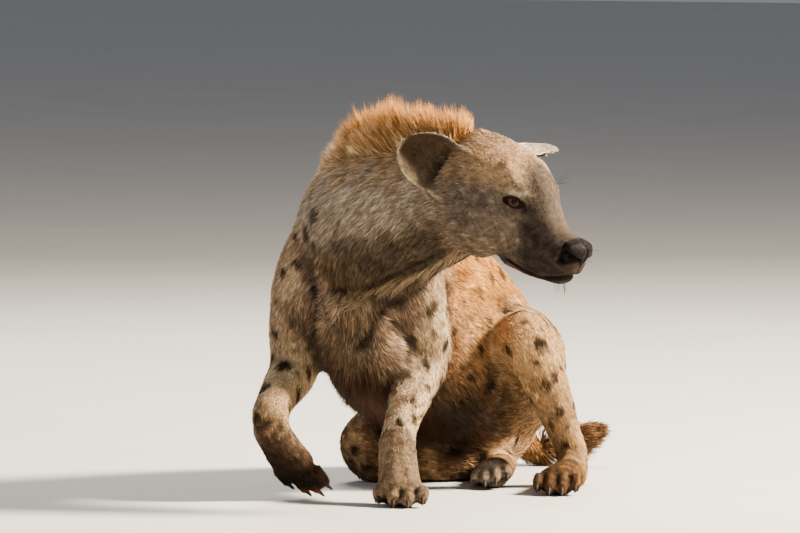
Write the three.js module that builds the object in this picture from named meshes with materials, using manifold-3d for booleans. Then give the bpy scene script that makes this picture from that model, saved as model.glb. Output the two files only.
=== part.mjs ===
// Spotted hyena, life size, sitting on its right haunch with its head turned to its left.
// Millimetres, +Z up, the animal faces -Y and its left is +X. The floor is Z = 0.
// The solids give the outline out to the tips of the coat.
import * as THREE from 'three';
import { LoftGeometry } from 'three/addons/geometries/LoftGeometry.js';
import { mergeVertices } from 'three/addons/utils/BufferGeometryUtils.js';
import Module from 'manifold-3d';

const wasm = await Module();
wasm.setup();

// Driving dimensions
const GAP = 0.35;
const HEAD_LENGTH = 262;
const HEAD_PITCH = 23;
const HEAD_TURN = 79;
const EYE_RADIUS = 13.5;
const SOCKET_RADIUS = 10;
const EAR_LENGTH = 96;
const EAR_HALF_WIDTH = 45;
const EAR_THICKNESS = 7;
const MANE_HEIGHT = 58;
const MANE_HALF_WIDTH = 44;
const CLAW_LENGTH = 11;
const CLAW_RADIUS = 4.4;
const TOE_COUNT = 4;

// Where the skull meets the neck, measured from the planted left forepaw
const HEAD_BASE = [66, 56, 491];

const FUR = { color: 0xa98e68, roughness: 0.92, metalness: 0 };
const FACE = { color: 0x8f7c66, roughness: 0.88, metalness: 0 };
const DARK_FUR = { color: 0x6a5641, roughness: 0.92, metalness: 0 };
const MANE_HAIR = { color: 0xb9783f, roughness: 0.9, metalness: 0 };
const LEG_FUR = { color: 0xb9a07a, roughness: 0.9, metalness: 0 };
const PAW_FUR = { color: 0x8c775f, roughness: 0.9, metalness: 0 };
const NOSE_LEATHER = { color: 0x1b1716, roughness: 0.35, metalness: 0 };
const EYEBALL = { color: 0x3a1d12, roughness: 0.08, metalness: 0 };
const CLAW_HORN = { color: 0x3b332c, roughness: 0.45, metalness: 0 };

const vec = (p) => new THREE.Vector3(...p);
const radians = THREE.MathUtils.degToRad;
const UP = vec([0, 0, 1]);

// A value that runs smoothly through the numbers of a list, for t from 0 to 1
function smoothAlong(values, t) {
  const curve = new THREE.CatmullRomCurve3(values.map((v, i) => new THREE.Vector3(v, i, 0)));
  return curve.getPoint(t).x;
}

// Closed solid through stations. A station is [x, y, z, half width, top, bottom].
// up leans the sections, dome rounds both ends and square fills their corners.
function sweep(stations, settings = {}) {
  const { sides = 12, rings = 8, up = UP, dome = [0.5, 0.5] } = settings;
  const { grow = 0, square = 1, steps = [0.45, 0.86] } = settings;
  const path = new THREE.CatmullRomCurve3(stations.map((s) => vec(s.slice(0, 3))), false, 'centripetal');
  const column = (i) => stations.map((s) => s[i]);
  const last = stations.length - 1;
  const sections = [];
  const addSection = (t, scale, shift) => {
    const tangent = path.getTangent(t);
    const side = new THREE.Vector3().crossVectors(tangent, up).normalize();
    const above = new THREE.Vector3().crossVectors(side, tangent).normalize();
    const centre = path.getPoint(t).addScaledVector(tangent, shift);
    const wide = (smoothAlong(column(3), t) + grow) * scale;
    const top = (smoothAlong(column(4), t) + grow) * scale;
    const bottom = (smoothAlong(column(5), t) + grow) * scale;
    const ring = [];
    for (let k = 0; k < sides; k++) {
      const angle = (k / sides) * Math.PI * 2;
      const x = Math.sign(Math.cos(angle)) * Math.abs(Math.cos(angle)) ** square;
      const z = Math.sign(Math.sin(angle)) * Math.abs(Math.sin(angle)) ** square;
      const tall = z > 0 ? top : bottom;
      ring.push(centre.clone().addScaledVector(side, -x * wide).addScaledVector(above, z * tall));
    }
    sections.push(ring);
  };
  const startSize = (stations[0][3] + grow) * dome[0];
  const endSize = (stations[last][3] + grow) * dome[1];
  steps.forEach((s) => addSection(0, s, -startSize * Math.sqrt(1 - s * s)));
  for (let i = 0; i <= rings; i++) addSection(i / rings, 1, 0);
  [...steps].reverse().forEach((s) => addSection(1, s, endSize * Math.sqrt(1 - s * s)));
  return toSolid(new LoftGeometry(sections, { capStart: true, capEnd: true }));
}

// Between three.js geometry and solids that can be joined and cut
function toSolid(geometry) {
  const bare = new THREE.BufferGeometry();
  bare.setAttribute('position', geometry.getAttribute('position'));
  bare.setIndex(geometry.getIndex());
  const welded = mergeVertices(bare, 1e-3);
  const vertProperties = Float32Array.from(welded.attributes.position.array);
  const triVerts = Uint32Array.from(welded.index.array);
  const solid = new wasm.Manifold(new wasm.Mesh({ numProp: 3, vertProperties, triVerts }));
  return solid;
}

function toGeometry(solid) {
  const mesh = solid.getMesh();
  const geometry = new THREE.BufferGeometry();
  geometry.setAttribute('position', new THREE.BufferAttribute(mesh.vertProperties, 3));
  geometry.setIndex(new THREE.BufferAttribute(mesh.triVerts, 1));
  return geometry;
}

function largest(solid) {
  return solid.decompose().sort((a, b) => b.volume() - a.volume())[0];
}

function join(solids) {
  return solids.reduce((whole, solid) => whole.add(solid));
}

function onFloor(solid) {
  return solid.trimByPlane([0, 0, 1], 0);
}

// The part of a solid on one side of a plane through a point, short of it by half a gap or more
function keepSide(solid, point, normal, extra = 0) {
  const n = vec(normal).normalize();
  return solid.trimByPlane(n.toArray(), n.dot(vec(point)) + GAP / 2 + extra);
}

const opposite = (normal) => normal.map((c) => -c);

// Head frame: forward along the muzzle, left, and up through the brow
const turn = radians(HEAD_TURN);
const pitch = radians(HEAD_PITCH);
const headLeft = vec([Math.cos(turn), Math.sin(turn), 0]);
const headLevel = vec([Math.sin(turn), -Math.cos(turn), 0]);
const headForward = headLevel.multiplyScalar(Math.cos(pitch)).addScaledVector(UP, -Math.sin(pitch));
const headUp = new THREE.Vector3().crossVectors(headForward, headLeft);

function headPoint(forward, left, above) {
  return vec(HEAD_BASE)
    .addScaledVector(headForward, forward)
    .addScaledVector(headLeft, left)
    .addScaledVector(headUp, above);
}

// A head station: distance along the head, half width, top and bottom of its profile
function headStation(forward, wide, top, bottom) {
  const middle = (top + bottom) / 2;
  const half = (top - bottom) / 2;
  return [...headPoint(forward, 0, middle).toArray(), wide, half, half];
}

const onBothSides = (build) => [-1, 1].map(build);

function buildHead(grow = 0) {
  const L = HEAD_LENGTH;
  const shape = { sides: 7, rings: 2, up: headUp, dome: [0.8, 0.8], grow, steps: [0.7] };
  const skull = sweep([
    headStation(-0.08 * L, 72, 82, -86),
    headStation(0.08 * L, 82, 97, -92),
    headStation(0.24 * L, 82, 103, -90),
    headStation(0.38 * L, 73, 101, -82),
    headStation(0.48 * L, 60, 88, -76),
    headStation(0.58 * L, 49, 64, -71),
    headStation(0.68 * L, 43, 42, -66),
    headStation(0.79 * L, 39, 27, -60),
    headStation(0.89 * L, 36, 22, -48),
    headStation(0.95 * L, 30, 17, -38),
  ], { sides: 16, rings: 14, up: headUp, dome: [0.35, 0.35], grow, square: 0.94 });
  const brows = onBothSides((side) => sweep([
    [...headPoint(104, side * 40, 76).toArray(), 19, 14, 14],
    [...headPoint(134, side * 37, 58).toArray(), 17, 13, 13],
    [...headPoint(156, side * 30, 40).toArray(), 13, 10, 10],
  ], shape));
  const cheeks = onBothSides((side) => sweep([
    [...headPoint(50, side * 62, -20).toArray(), 25, 44, 46],
    [...headPoint(94, side * 58, -16).toArray(), 24, 36, 44],
    [...headPoint(132, side * 41, -20).toArray(), 16, 24, 32],
  ], shape));
  const lips = onBothSides((side) => sweep([
    [...headPoint(170, side * 29, -30).toArray(), 15, 22, 26],
    [...headPoint(210, side * 26, -28).toArray(), 14, 20, 25],
    [...headPoint(236, side * 16, -18).toArray(), 13, 17, 19],
  ], shape));
  return join([skull, ...brows, ...cheeks, ...lips]);
}

// The mouth is closed: its line runs from under the nose back to the corner below the eye
const mouthFront = headPoint(248, 0, -42).toArray();
const mouthNormal = headUp.clone().addScaledVector(headForward, -0.1).toArray();
const behindMouth = headPoint(146, 0, 0).toArray();
const ahead = headForward.toArray();

function buildJaw(grow = 0) {
  return sweep([
    headStation(140, 40, -34, -74),
    headStation(176, 35, -38, -71),
    headStation(212, 31, -40, -66),
    headStation(235, 24, -36, -58),
    headStation(245, 17, -34, -50),
  ], { sides: 9, rings: 3, up: headUp, dome: [0.3, 0.5], grow, steps: [0.7] });
}

function buildNose(grow = 0) {
  return sweep([
    headStation(234, 23, 19, -17),
    headStation(247, 25, 19, -19),
    headStation(256, 20, 14, -17),
  ], { sides: 10, rings: 2, up: headUp, dome: [0.2, 0.35], grow, square: 0.85 });
}

const EYE_PLACE = { forward: 134, left: 39.5, above: 32.5 };

const SOCKET_DEPTH = 40;

function eyeCentre(side) {
  return headPoint(EYE_PLACE.forward, side * EYE_PLACE.left, EYE_PLACE.above);
}

function buildEye(side, grow = 0) {
  const centre = eyeCentre(side);
  const ball = new THREE.SphereGeometry(EYE_RADIUS + grow, 10, 7);
  ball.translate(centre.x, centre.y, centre.z);
  return toSolid(ball);
}

// The opening in front of an eyeball, which the lids leave
function buildSocket(side) {
  const outward = headDirection(0.6, side * 0.78, 0.18).normalize();
  const opening = new THREE.CylinderGeometry(SOCKET_RADIUS, SOCKET_RADIUS, SOCKET_DEPTH, 10);
  opening.applyQuaternion(new THREE.Quaternion().setFromUnitVectors(vec([0, 1, 0]), outward));
  const middle = eyeCentre(side).addScaledVector(outward, SOCKET_DEPTH / 2);
  opening.translate(middle.x, middle.y, middle.z);
  return toSolid(opening);
}

// An ear is a thin bowl, swept from its root to its rounded tip
function buildEar(side, grow = 0) {
  const { root, along, opening } = EARS[side];
  const axis = along.clone().normalize();
  const face = opening.clone().addScaledVector(axis, -opening.dot(axis)).normalize();
  const across = new THREE.Vector3().crossVectors(axis, face);
  const steps = 8;
  const around = 7;
  const sections = [];
  for (let i = 0; i <= steps; i++) {
    const t = (i / steps) ** 0.85;
    const swell = Math.sin(Math.PI * (0.22 + 0.765 * t)) ** 0.5;
    const width = EAR_HALF_WIDTH * swell + grow;
    const depth = 30 * (1 - t) ** 0.8 + 5;
    const centre = root.clone().addScaledVector(axis, EAR_LENGTH * t);
    const ring = [];
    for (const outside of [1, 0]) {
      for (let k = 0; k < around; k++) {
        const a = ((outside ? k : around - 1 - k) / (around - 1)) * 2 - 1;
        const thick = EAR_THICKNESS * (1 - 0.55 * Math.abs(a));
        const bowl = depth * (a * a - 1) - outside * (thick + 2 * grow) + grow;
        ring.push(centre.clone().addScaledVector(across, width * a).addScaledVector(face, bowl));
      }
    }
    sections.push(ring.reverse());
  }
  return toSolid(new LoftGeometry(sections, { capStart: true, capEnd: true }));
}

function headDirection(forward, left, above) {
  return headPoint(forward, left, above).sub(vec(HEAD_BASE));
}

// The right ear is held out and back, the left one straight out with its opening down
const EARS = {
  right: {
    root: headPoint(30, -62, 34),
    along: headDirection(-0.56, -0.7, 0.2),
    opening: headDirection(0.75, -0.45, 0.05),
  },
  left: {
    root: headPoint(30, 62, 34),
    along: headDirection(0.33, 0.85, 0.41),
    opening: headDirection(0.6, 0.1, -0.69),
  },
};

function buildNeck(grow = 0) {
  return sweep([
    [-166, 268, 380, 104, 122, 120],
    [-152, 206, 402, 116, 126, 124],
    [-110, 146, 425, 112, 122, 124],
    [-48, 98, 443, 99, 108, 114],
    [20, 70, 460, 88, 98, 106],
    [74, 52, 478, 80, 92, 98],
  ], { sides: 16, rings: 7, dome: [0.4, 0.4], grow });
}

function buildTrunk(grow = 0) {
  const body = sweep([
    [-140, 112, 300, 66, 86, 96],
    [-146, 160, 306, 96, 140, 146],
    [-152, 236, 316, 116, 184, 184],
    [-150, 330, 286, 130, 178, 178],
    [-146, 430, 236, 140, 170, 174],
    [-142, 520, 196, 136, 154, 162],
    [-140, 600, 154, 122, 132, 176],
    [-138, 668, 116, 92, 96, 140],
  ], { sides: 18, rings: 10, dome: [0.4, 0.45], grow });
  const brisket = sweep([
    [-122, 142, 228, 66, 84, 66],
    [-130, 190, 200, 68, 80, 64],
    [-138, 260, 174, 66, 70, 56],
  ], { sides: 9, rings: 2, dome: [0.75, 0.6], grow, steps: [0.7] });
  return body.add(brisket);
}

// Limbs run from the trunk outwards, each as an upper and a lower sweep
const LIMBS = {
  upper_arm_left: [
    [-122, 234, 446, 50, 52, 56],
    [-98, 198, 398, 62, 66, 68],
    [-76, 180, 344, 60, 68, 70],
    [-70, 204, 282, 54, 60, 66],
    [-72, 242, 228, 45, 48, 52],
  ],
  forearm_left: [
    [-74, 256, 214, 42, 46, 46],
    [-66, 206, 180, 39, 43, 43],
    [-54, 142, 146, 34, 36, 36],
    [-42, 90, 114, 31, 32, 32],
    [-37, 72, 96, 31, 30, 30],
  ],
  upper_arm_right: [
    [-190, 234, 448, 54, 54, 62],
    [-206, 190, 396, 64, 68, 84],
    [-222, 160, 332, 58, 68, 86],
    [-250, 174, 262, 52, 58, 74],
    [-274, 206, 202, 43, 46, 50],
  ],
  forearm_right: [
    [-278, 214, 190, 40, 44, 44],
    [-262, 142, 170, 37, 40, 40],
    [-246, 76, 151, 33, 34, 34],
    [-233, 24, 128, 33, 31, 31],
  ],
  thigh_left: [
    [-88, 612, 150, 84, 98, 110],
    [-46, 530, 186, 86, 92, 108],
    [2, 440, 218, 61, 68, 86],
    [42, 366, 244, 40, 42, 46],
  ],
  shin_left: [
    [50, 354, 240, 37, 37, 36],
    [64, 372, 196, 42, 41, 42],
    [71, 404, 146, 37, 38, 38],
    [77, 440, 88, 29, 31, 31],
    [82, 466, 46, 29, 29, 29],
  ],
  thigh_right: [
    [-196, 610, 90, 84, 88, 94],
    [-218, 520, 78, 82, 84, 86],
    [-238, 440, 62, 62, 66, 66],
    [-246, 400, 54, 54, 56, 58],
  ],
  shin_right: [
    [-242, 398, 48, 46, 48, 50],
    [-186, 432, 44, 42, 44, 46],
    [-122, 482, 38, 35, 36, 40],
    [-64, 524, 34, 30, 32, 35],
  ],
};

const LIMB_UP = { arm: vec([0, -1, 0.4]), leg: vec([0, 0.5, 0.85]) };

function buildLimb(name, grow = 0) {
  const up = name.includes('arm') ? LIMB_UP.arm : LIMB_UP.leg;
  return sweep(LIMBS[name], { sides: 10, rings: 5, up, dome: [0.55, 0.6], grow });
}

// A paw is a pad with four toes side by side, the inner and outer ones set back.
// A pad station is [x, y, z, half width, half height], and the last one is the ball.
const PAWS = {
  forepaw_left: {
    pad: [[-37, 70, 96, 30, 29], [-28, 54, 53, 32, 31], [-12, 28, 21, 37, 29]],
    toes: [3, -5, 10.5], across: [1, 0.1, 0], toeRadius: 15, spread: 23.5, curl: UP,
  },
  forepaw_right: {
    pad: [[-232, 27, 116, 32, 29], [-224, 40, 88, 33, 27], [-206, 62, 52, 36, 26]],
    toes: [-190, 86, 16], across: [0.94, 0.22, 0], toeRadius: 13.5, spread: 20,
    curl: vec([-0.3, -0.8, 0.35]).normalize(),
  },
  hind_foot_left: {
    pad: [[82, 470, 25, 27, 28], [100, 396, 24, 27, 26], [118, 322, 22, 33, 25]],
    toes: [131, 287, 11], across: [0.96, 0.26, 0], toeRadius: 14, spread: 20, curl: UP,
  },
  hind_foot_right: {
    pad: [[-60, 516, 27, 27, 26], [-38, 446, 26, 27, 25], [-18, 378, 24, 32, 25]],
    toes: [-6, 346, 15], across: [0.93, 0.2, 0.22], toeRadius: 12, spread: 18,
    curl: vec([-0.22, 0, 0.97]).normalize(),
  },
};

function toeLines({ pad, toes, across, spread, curl, toeRadius }) {
  const ball = pad[pad.length - 1].slice(0, 3);
  const sideways = vec(across).normalize();
  const direction = vec(toes).sub(vec(ball)).normalize();
  return Array.from({ length: TOE_COUNT }, (_, i) => {
    const place = i - (TOE_COUNT - 1) / 2;
    const setBack = Math.abs(place) > 1 ? toeRadius : 0;
    const root = vec(ball).addScaledVector(sideways, place * spread);
    const tip = vec(toes).addScaledVector(sideways, place * spread).addScaledVector(direction, -setBack);
    const knuckle = root.clone().lerp(tip, 0.2).addScaledVector(curl, toeRadius * 0.25);
    return { root, knuckle, tip, direction };
  });
}

function buildPaw(name, grow = 0) {
  const shape = PAWS[name];
  const { toeRadius, spread, curl } = shape;
  const pad = sweep(shape.pad.map(([x, y, z, wide, high]) => [x, y, z, wide, high, high]), {
    sides: 10, rings: 3, up: curl, dome: [0.5, 0.5], grow,
  });
  const toes = toeLines(shape).map(({ knuckle, tip }) => sweep([
    [...knuckle.toArray(), spread * 0.49, toeRadius * 1.2, toeRadius],
    [...tip.toArray(), spread * 0.47, toeRadius * 0.9, toeRadius * 0.9],
  ], { sides: 6, rings: 1, up: curl, dome: [0.3, 0.75], grow, steps: [0.66] }));
  return join([pad, ...toes]);
}

function buildClaws(name, grow = 0) {
  const { curl, toeRadius } = PAWS[name];
  return toeLines(PAWS[name]).map(({ tip, direction }) => {
    const at = (along, lift) => tip.clone()
      .addScaledVector(direction, toeRadius * 0.1 + along)
      .addScaledVector(curl, lift).toArray();
    return sweep([
      [...at(0, toeRadius * 0.1), CLAW_RADIUS * 0.8, CLAW_RADIUS * 1.2, CLAW_RADIUS * 1.2],
      [...at(CLAW_LENGTH * 0.6, toeRadius * 0.1), CLAW_RADIUS * 0.7, CLAW_RADIUS * 0.9, CLAW_RADIUS * 0.9],
      [...at(CLAW_LENGTH, -toeRadius * 0.3), CLAW_RADIUS * 0.4, CLAW_RADIUS * 0.45, CLAW_RADIUS * 0.45],
    ], { sides: 5, rings: 2, up: curl, dome: [0.4, 0.8], grow, steps: [0.5] });
  });
}

// The tail lies on the floor behind, its tuft turned to the left
function buildTail(grow = 0) {
  return sweep([
    [-140, 700, 120, 34, 34, 34],
    [-144, 752, 72, 27, 27, 27],
    [-138, 796, 30, 23, 23, 27],
    [-116, 818, 24, 23, 24, 29],
  ], { sides: 9, rings: 6, up: vec([1, 0, 0.2]), dome: [0.5, 0.4], grow });
}

function buildTailTuft(grow = 0) {
  return sweep([
    [-122, 812, 26, 22, 24, 28],
    [-96, 830, 34, 31, 32, 36],
    [-66, 834, 46, 26, 28, 30],
    [-46, 832, 58, 10, 12, 13],
  ], { sides: 9, rings: 5, dome: [0.4, 0.8], grow });
}

// The standing hair of nape and withers is one crest: place, width and height along it
function buildMane(grow = 0) {
  const crest = [
    [78, 60, 570, 0.5, 0.42],
    [30, 76, 566, 0.78, 0.8],
    [-34, 106, 556, 0.95, 1],
    [-98, 152, 550, 1.1, 1],
    [-144, 206, 532, 1.3, 0.86],
    [-162, 268, 498, 1.25, 0.58],
    [-158, 352, 450, 0.8, 0.34],
  ];
  return sweep(crest.map(([x, y, z, wide, tall]) => [
    x, y, z, wide * MANE_HALF_WIDTH, tall * MANE_HEIGHT, 40,
  ]), { sides: 10, rings: 8, dome: [0.9, 0.9], grow });
}

// The whole is parted node by node: each solid leaves room for the ones placed before it
const hyena = new THREE.Group();
const placed = [];

function nearby(a, b) {
  return [0, 1, 2].every((i) => a.min[i] < b.max[i] && b.min[i] < a.max[i]);
}

function addMesh(name, solid, look) {
  const mesh = new THREE.Mesh(toGeometry(solid), new THREE.MeshStandardMaterial(look));
  mesh.name = name;
  hyena.add(mesh);
}

function clearOfPlaced(solid) {
  const box = solid.boundingBox();
  const close = placed.filter((other) => nearby(box, other.boundingBox()));
  return onFloor(close.reduce((rest, other) => rest.subtract(other), solid));
}

// build makes the solid, wider by the gap that it keeps to its neighbours when asked to
function addNode(name, build, look) {
  const solid = build(0);
  addMesh(name, largest(clearOfPlaced(solid)), look);
  placed.push(solid.add(build(GAP)));
}

// Head
const neckEdge = headPoint(6, 0, 0).toArray();
const neckNormal = headForward.clone().addScaledVector(headUp, -0.1).toArray();
const headShape = (grow) => [1, -1].reduce(
  (rest, side) => rest.subtract(buildSocket(side)),
  keepSide(join([buildHead(grow), buildJaw(grow)]), neckEdge, neckNormal, -grow),
);
const jawShape = (grow) => {
  const front = keepSide(headShape(grow), behindMouth, ahead, -grow);
  return keepSide(front, mouthFront, opposite(mouthNormal), -grow);
};
addNode('nose', buildNose, NOSE_LEATHER);
addNode('eye_right', (grow) => buildEye(-1, grow), EYEBALL);
addNode('eye_left', (grow) => buildEye(1, grow), EYEBALL);
addNode('lower_jaw', jawShape, FACE);
addNode('head', headShape, FACE);
for (const side of ['right', 'left']) addNode(`ear_${side}`, (grow) => buildEar(side, grow), FACE);

// Limbs, from the claws inwards
for (const name of Object.keys(PAWS)) {
  buildClaws(name).forEach((claw, i) => addMesh(`${name}_claw_${i + 1}`, onFloor(claw), CLAW_HORN));
  placed.push(...buildClaws(name, GAP));
  addNode(name, (grow) => buildPaw(name, grow), PAW_FUR);
}
for (const name of Object.keys(LIMBS).reverse()) addNode(name, (grow) => buildLimb(name, grow), LEG_FUR);
addNode('tail_tuft', buildTailTuft, DARK_FUR);
addNode('tail', buildTail, FUR);
addNode('neck', buildNeck, FUR);

// Trunk, parted behind the ribs and in front of the hips
const torso = clearOfPlaced(buildTrunk());
const ribEnd = { point: [-146, 380, 260], normal: [0, 0.94, -0.34] };
const hipStart = { point: [-142, 545, 180], normal: [0, 0.96, -0.28] };
const behindRibs = keepSide(torso, ribEnd.point, ribEnd.normal);
addMesh('chest', largest(keepSide(torso, ribEnd.point, opposite(ribEnd.normal))), FUR);
addMesh('belly', largest(keepSide(behindRibs, hipStart.point, opposite(hipStart.normal))), FUR);
addMesh('rump', largest(keepSide(behindRibs, hipStart.point, hipStart.normal)), FUR);
placed.push(buildTrunk(GAP));
addMesh('mane', largest(clearOfPlaced(buildMane())), MANE_HAIR);

// The origin is on the floor, under the middle of the whole
const bounds = new THREE.Box3().setFromObject(hyena);
const middle = bounds.getCenter(new THREE.Vector3());
hyena.position.set(-Math.round(middle.x), -Math.round(middle.y), 0);

export default hyena;
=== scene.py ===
"""Spotted hyena, life size, sitting: skin, coat, eyes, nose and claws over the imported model."""
import math

import bpy
import numpy as np
from bpy.props import FloatProperty, FloatVectorProperty, PointerProperty
from mathutils import Matrix, Vector
from mathutils.kdtree import KDTree


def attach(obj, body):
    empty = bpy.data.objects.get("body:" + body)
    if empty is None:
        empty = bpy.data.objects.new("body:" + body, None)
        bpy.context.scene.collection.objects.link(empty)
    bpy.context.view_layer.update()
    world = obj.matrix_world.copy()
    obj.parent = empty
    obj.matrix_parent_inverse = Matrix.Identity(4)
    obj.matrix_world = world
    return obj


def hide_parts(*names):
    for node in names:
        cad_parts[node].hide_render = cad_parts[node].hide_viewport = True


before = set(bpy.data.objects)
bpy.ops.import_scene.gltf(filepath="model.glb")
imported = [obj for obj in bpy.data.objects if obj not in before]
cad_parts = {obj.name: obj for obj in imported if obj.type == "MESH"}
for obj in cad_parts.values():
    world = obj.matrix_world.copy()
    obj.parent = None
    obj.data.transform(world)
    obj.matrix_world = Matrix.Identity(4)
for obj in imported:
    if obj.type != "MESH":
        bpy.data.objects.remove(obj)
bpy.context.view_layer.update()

bl_info = {
    "name": "Spotted Hyena Model",
    "version": (1, 0, 0),
    "blender": (4, 5, 0),
    "location": "View3D > Sidebar > Hyena",
    "description": "Builds the skin, coat, eyes, nose and claws of a sitting spotted hyena",
    "category": "Add Mesh",
}

# What one step leaves for the next: the skin's points, triangles, hollows and spots, and the coat's finish
STORE = {}

# Places below are in millimetres from the planted left forepaw, unless they are on the head
MM = 0.001
PER_METRE = 1000
SIDES = (-1, 1)
ORIGIN = np.array((0.004, -0.392, 0.0))
HEAD_BASE = (66, 56, 491)
HEAD_TURN = math.radians(79)
HEAD_PITCH = math.radians(23)
HEAD_FORWARD = np.array((math.sin(HEAD_TURN) * math.cos(HEAD_PITCH),
                         -math.cos(HEAD_TURN) * math.cos(HEAD_PITCH), -math.sin(HEAD_PITCH)))
HEAD_LEFT = np.array((math.cos(HEAD_TURN), math.sin(HEAD_TURN), 0.0))
HEAD_UP = np.cross(HEAD_FORWARD, HEAD_LEFT)
HEAD_AXES = np.stack([HEAD_FORWARD, HEAD_LEFT, HEAD_UP])


def body_place(points):
    """Millimetres from the left forepaw to metres in the model's frame."""
    return np.asarray(points, float) * MM + ORIGIN


def body_mm(co):
    """Metres in the model's frame to millimetres from the left forepaw."""
    return (co - ORIGIN) * PER_METRE


def head_place(points):
    """Millimetres forward, left and up on the head to metres in the model's frame."""
    return body_place(np.asarray(points, float) @ HEAD_AXES + HEAD_BASE)


def head_mm(co):
    """Metres in the model's frame to millimetres forward, left and up on the head."""
    return (body_mm(co) - HEAD_BASE) @ HEAD_AXES.T


def mirrored(place, side):
    """A place or direction of the head's left side, on either side."""
    return np.array(place) * (1, side, 1)


FLESH = (
    "head", "lower_jaw", "ear_right", "ear_left", "neck", "chest",
    "belly", "rump", "upper_arm_left", "forearm_left", "forepaw_left", "upper_arm_right",
    "forearm_right", "forepaw_right", "thigh_left", "shin_left", "hind_foot_left", "thigh_right",
    "shin_right", "hind_foot_right", "tail",
)
PAWS = ("forepaw_left", "forepaw_right", "hind_foot_left", "hind_foot_right")

EYE_RADIUS = 13.5
EYE_PLACE = (134, 39.5, 32.5)
EYE_AXIS = (0.6, 0.78, 0.18)

# The lie of the coat: each family runs through stations x, y, z and reach, the way its hair points
LIE = {
    "trunk": ((-140, 112, 300, 80), (-146, 160, 306, 120), (-152, 236, 316, 150), (-150, 330, 286, 155),
              (-146, 430, 236, 155), (-142, 520, 196, 150), (-140, 600, 154, 135), (-138, 668, 116, 105),
              (-138, 700, 100, 80)),
    "brisket": ((-122, 96, 350, 60), (-122, 92, 290, 66), (-122, 120, 228, 66), (-130, 190, 180, 64),
                (-138, 260, 150, 60), (-140, 340, 120, 60)),
    "neck": ((74, 52, 478, 90), (20, 70, 460, 98), (-48, 98, 443, 105), (-110, 146, 425, 112),
             (-152, 206, 402, 112), (-166, 268, 370, 100)),
    "arm_left": ((-110, 216, 420, 60), (-80, 188, 350, 62), (-70, 204, 282, 54), (-72, 236, 232, 46),
                 (-68, 206, 184, 39), (-54, 142, 146, 34), (-42, 90, 114, 31)),
    "arm_right": ((-196, 212, 422, 60), (-222, 164, 340, 60), (-250, 174, 262, 52), (-274, 206, 202, 44),
                  (-262, 142, 170, 37), (-246, 76, 151, 33), (-236, 40, 134, 31)),
    "forepaw_left": ((-37, 70, 96, 30), (-28, 54, 53, 32), (-12, 28, 21, 34), (2, -2, 9, 34)),
    "forepaw_right": ((-232, 27, 116, 30), (-224, 40, 88, 32), (-206, 62, 52, 33), (-190, 86, 16, 33)),
    "leg_left": ((-88, 600, 150, 95), (-46, 530, 186, 90), (2, 440, 218, 68), (40, 372, 244, 46),
                 (60, 366, 210, 40), (71, 404, 146, 38), (77, 440, 88, 30), (82, 466, 46, 29)),
    "leg_right": ((-196, 600, 90, 84), (-218, 520, 78, 82), (-238, 440, 62, 64), (-246, 396, 50, 54),
                  (-186, 432, 44, 44), (-122, 482, 38, 36), (-64, 520, 34, 30)),
    "hindpaw_left": ((82, 462, 30, 28), (100, 396, 24, 28), (118, 322, 22, 32), (130, 290, 10, 32)),
    "hindpaw_right": ((-56, 506, 27, 27), (-38, 446, 26, 27), (-18, 378, 24, 31), (-6, 346, 15, 31)),
    "tail": ((-140, 700, 120, 40), (-144, 752, 72, 30), (-138, 796, 30, 26), (-116, 818, 26, 26),
             (-80, 832, 40, 24)),
}
HEAD_LIE = ((250, 0, -6, 24), (225, 0, -10, 34), (196, 0, -14, 38), (166, 0, -8, 48), (130, 0, 0, 66),
            (90, 0, 5, 82), (50, 0, 5, 90), (5, 0, 0, 88))
EARS = {
    "ear_right": {"root": (30, -62, 34), "along": (-0.56, -0.7, 0.2), "opening": (0.75, -0.45, 0.05),
                  "pale_edge": 0.2},
    "ear_left": {"root": (30, 62, 34), "along": (0.33, 0.85, 0.41), "opening": (0.6, 0.1, -0.69),
                 "pale_edge": 0.7},
}
EAR_LENGTH = 96
EAR_HALF_WIDTH = 45

# How much wider than its own reach a limb holds its coat against that of the trunk
LIMB_HOLD = 1.28

# Millimetres for each family: hair length, hair width, depth of the coat, and its lift in degrees
COAT = {
    "trunk": (15, 1.3, 5.5, 12), "brisket": (14, 1.3, 6, 12), "neck": (16, 1.25, 6, 13),
    "arm_left": (9.5, 1.15, 3.5, 11), "arm_right": (9.5, 1.15, 3.5, 11),
    "forepaw_left": (6, 1.0, 1.6, 12), "forepaw_right": (7, 1.0, 1.8, 13),
    "leg_left": (10.5, 1.2, 3.5, 12), "leg_right": (10.5, 1.2, 3.5, 12),
    "hindpaw_left": (6, 1.0, 1.6, 12), "hindpaw_right": (6, 1.0, 1.6, 12),
    "tail": (26, 1.6, 6.5, 20), "head": (7.0, 0.95, 2.2, 13), "ear_right": (6.5, 0.9, 0.9, 15),
    "ear_left": (6.5, 0.9, 0.9, 15),
}
FAMILIES = tuple(COAT)
PAW_FAMILIES = tuple(name for name in FAMILIES if "paw" in name)
LIMB_FAMILIES = tuple(name for name in FAMILIES if name.startswith(("arm", "leg")))

# The standing hair of the nape: x, y, height of its tips and half width
CREST = (
    (106, 46, 578, 16), (80, 58, 590, 22), (54, 68, 604, 28), (30, 76, 613, 34), (-34, 106, 614, 42),
    (-98, 152, 608, 48), (-144, 206, 582, 56), (-162, 268, 532, 54), (-158, 352, 470, 34),
)

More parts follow.
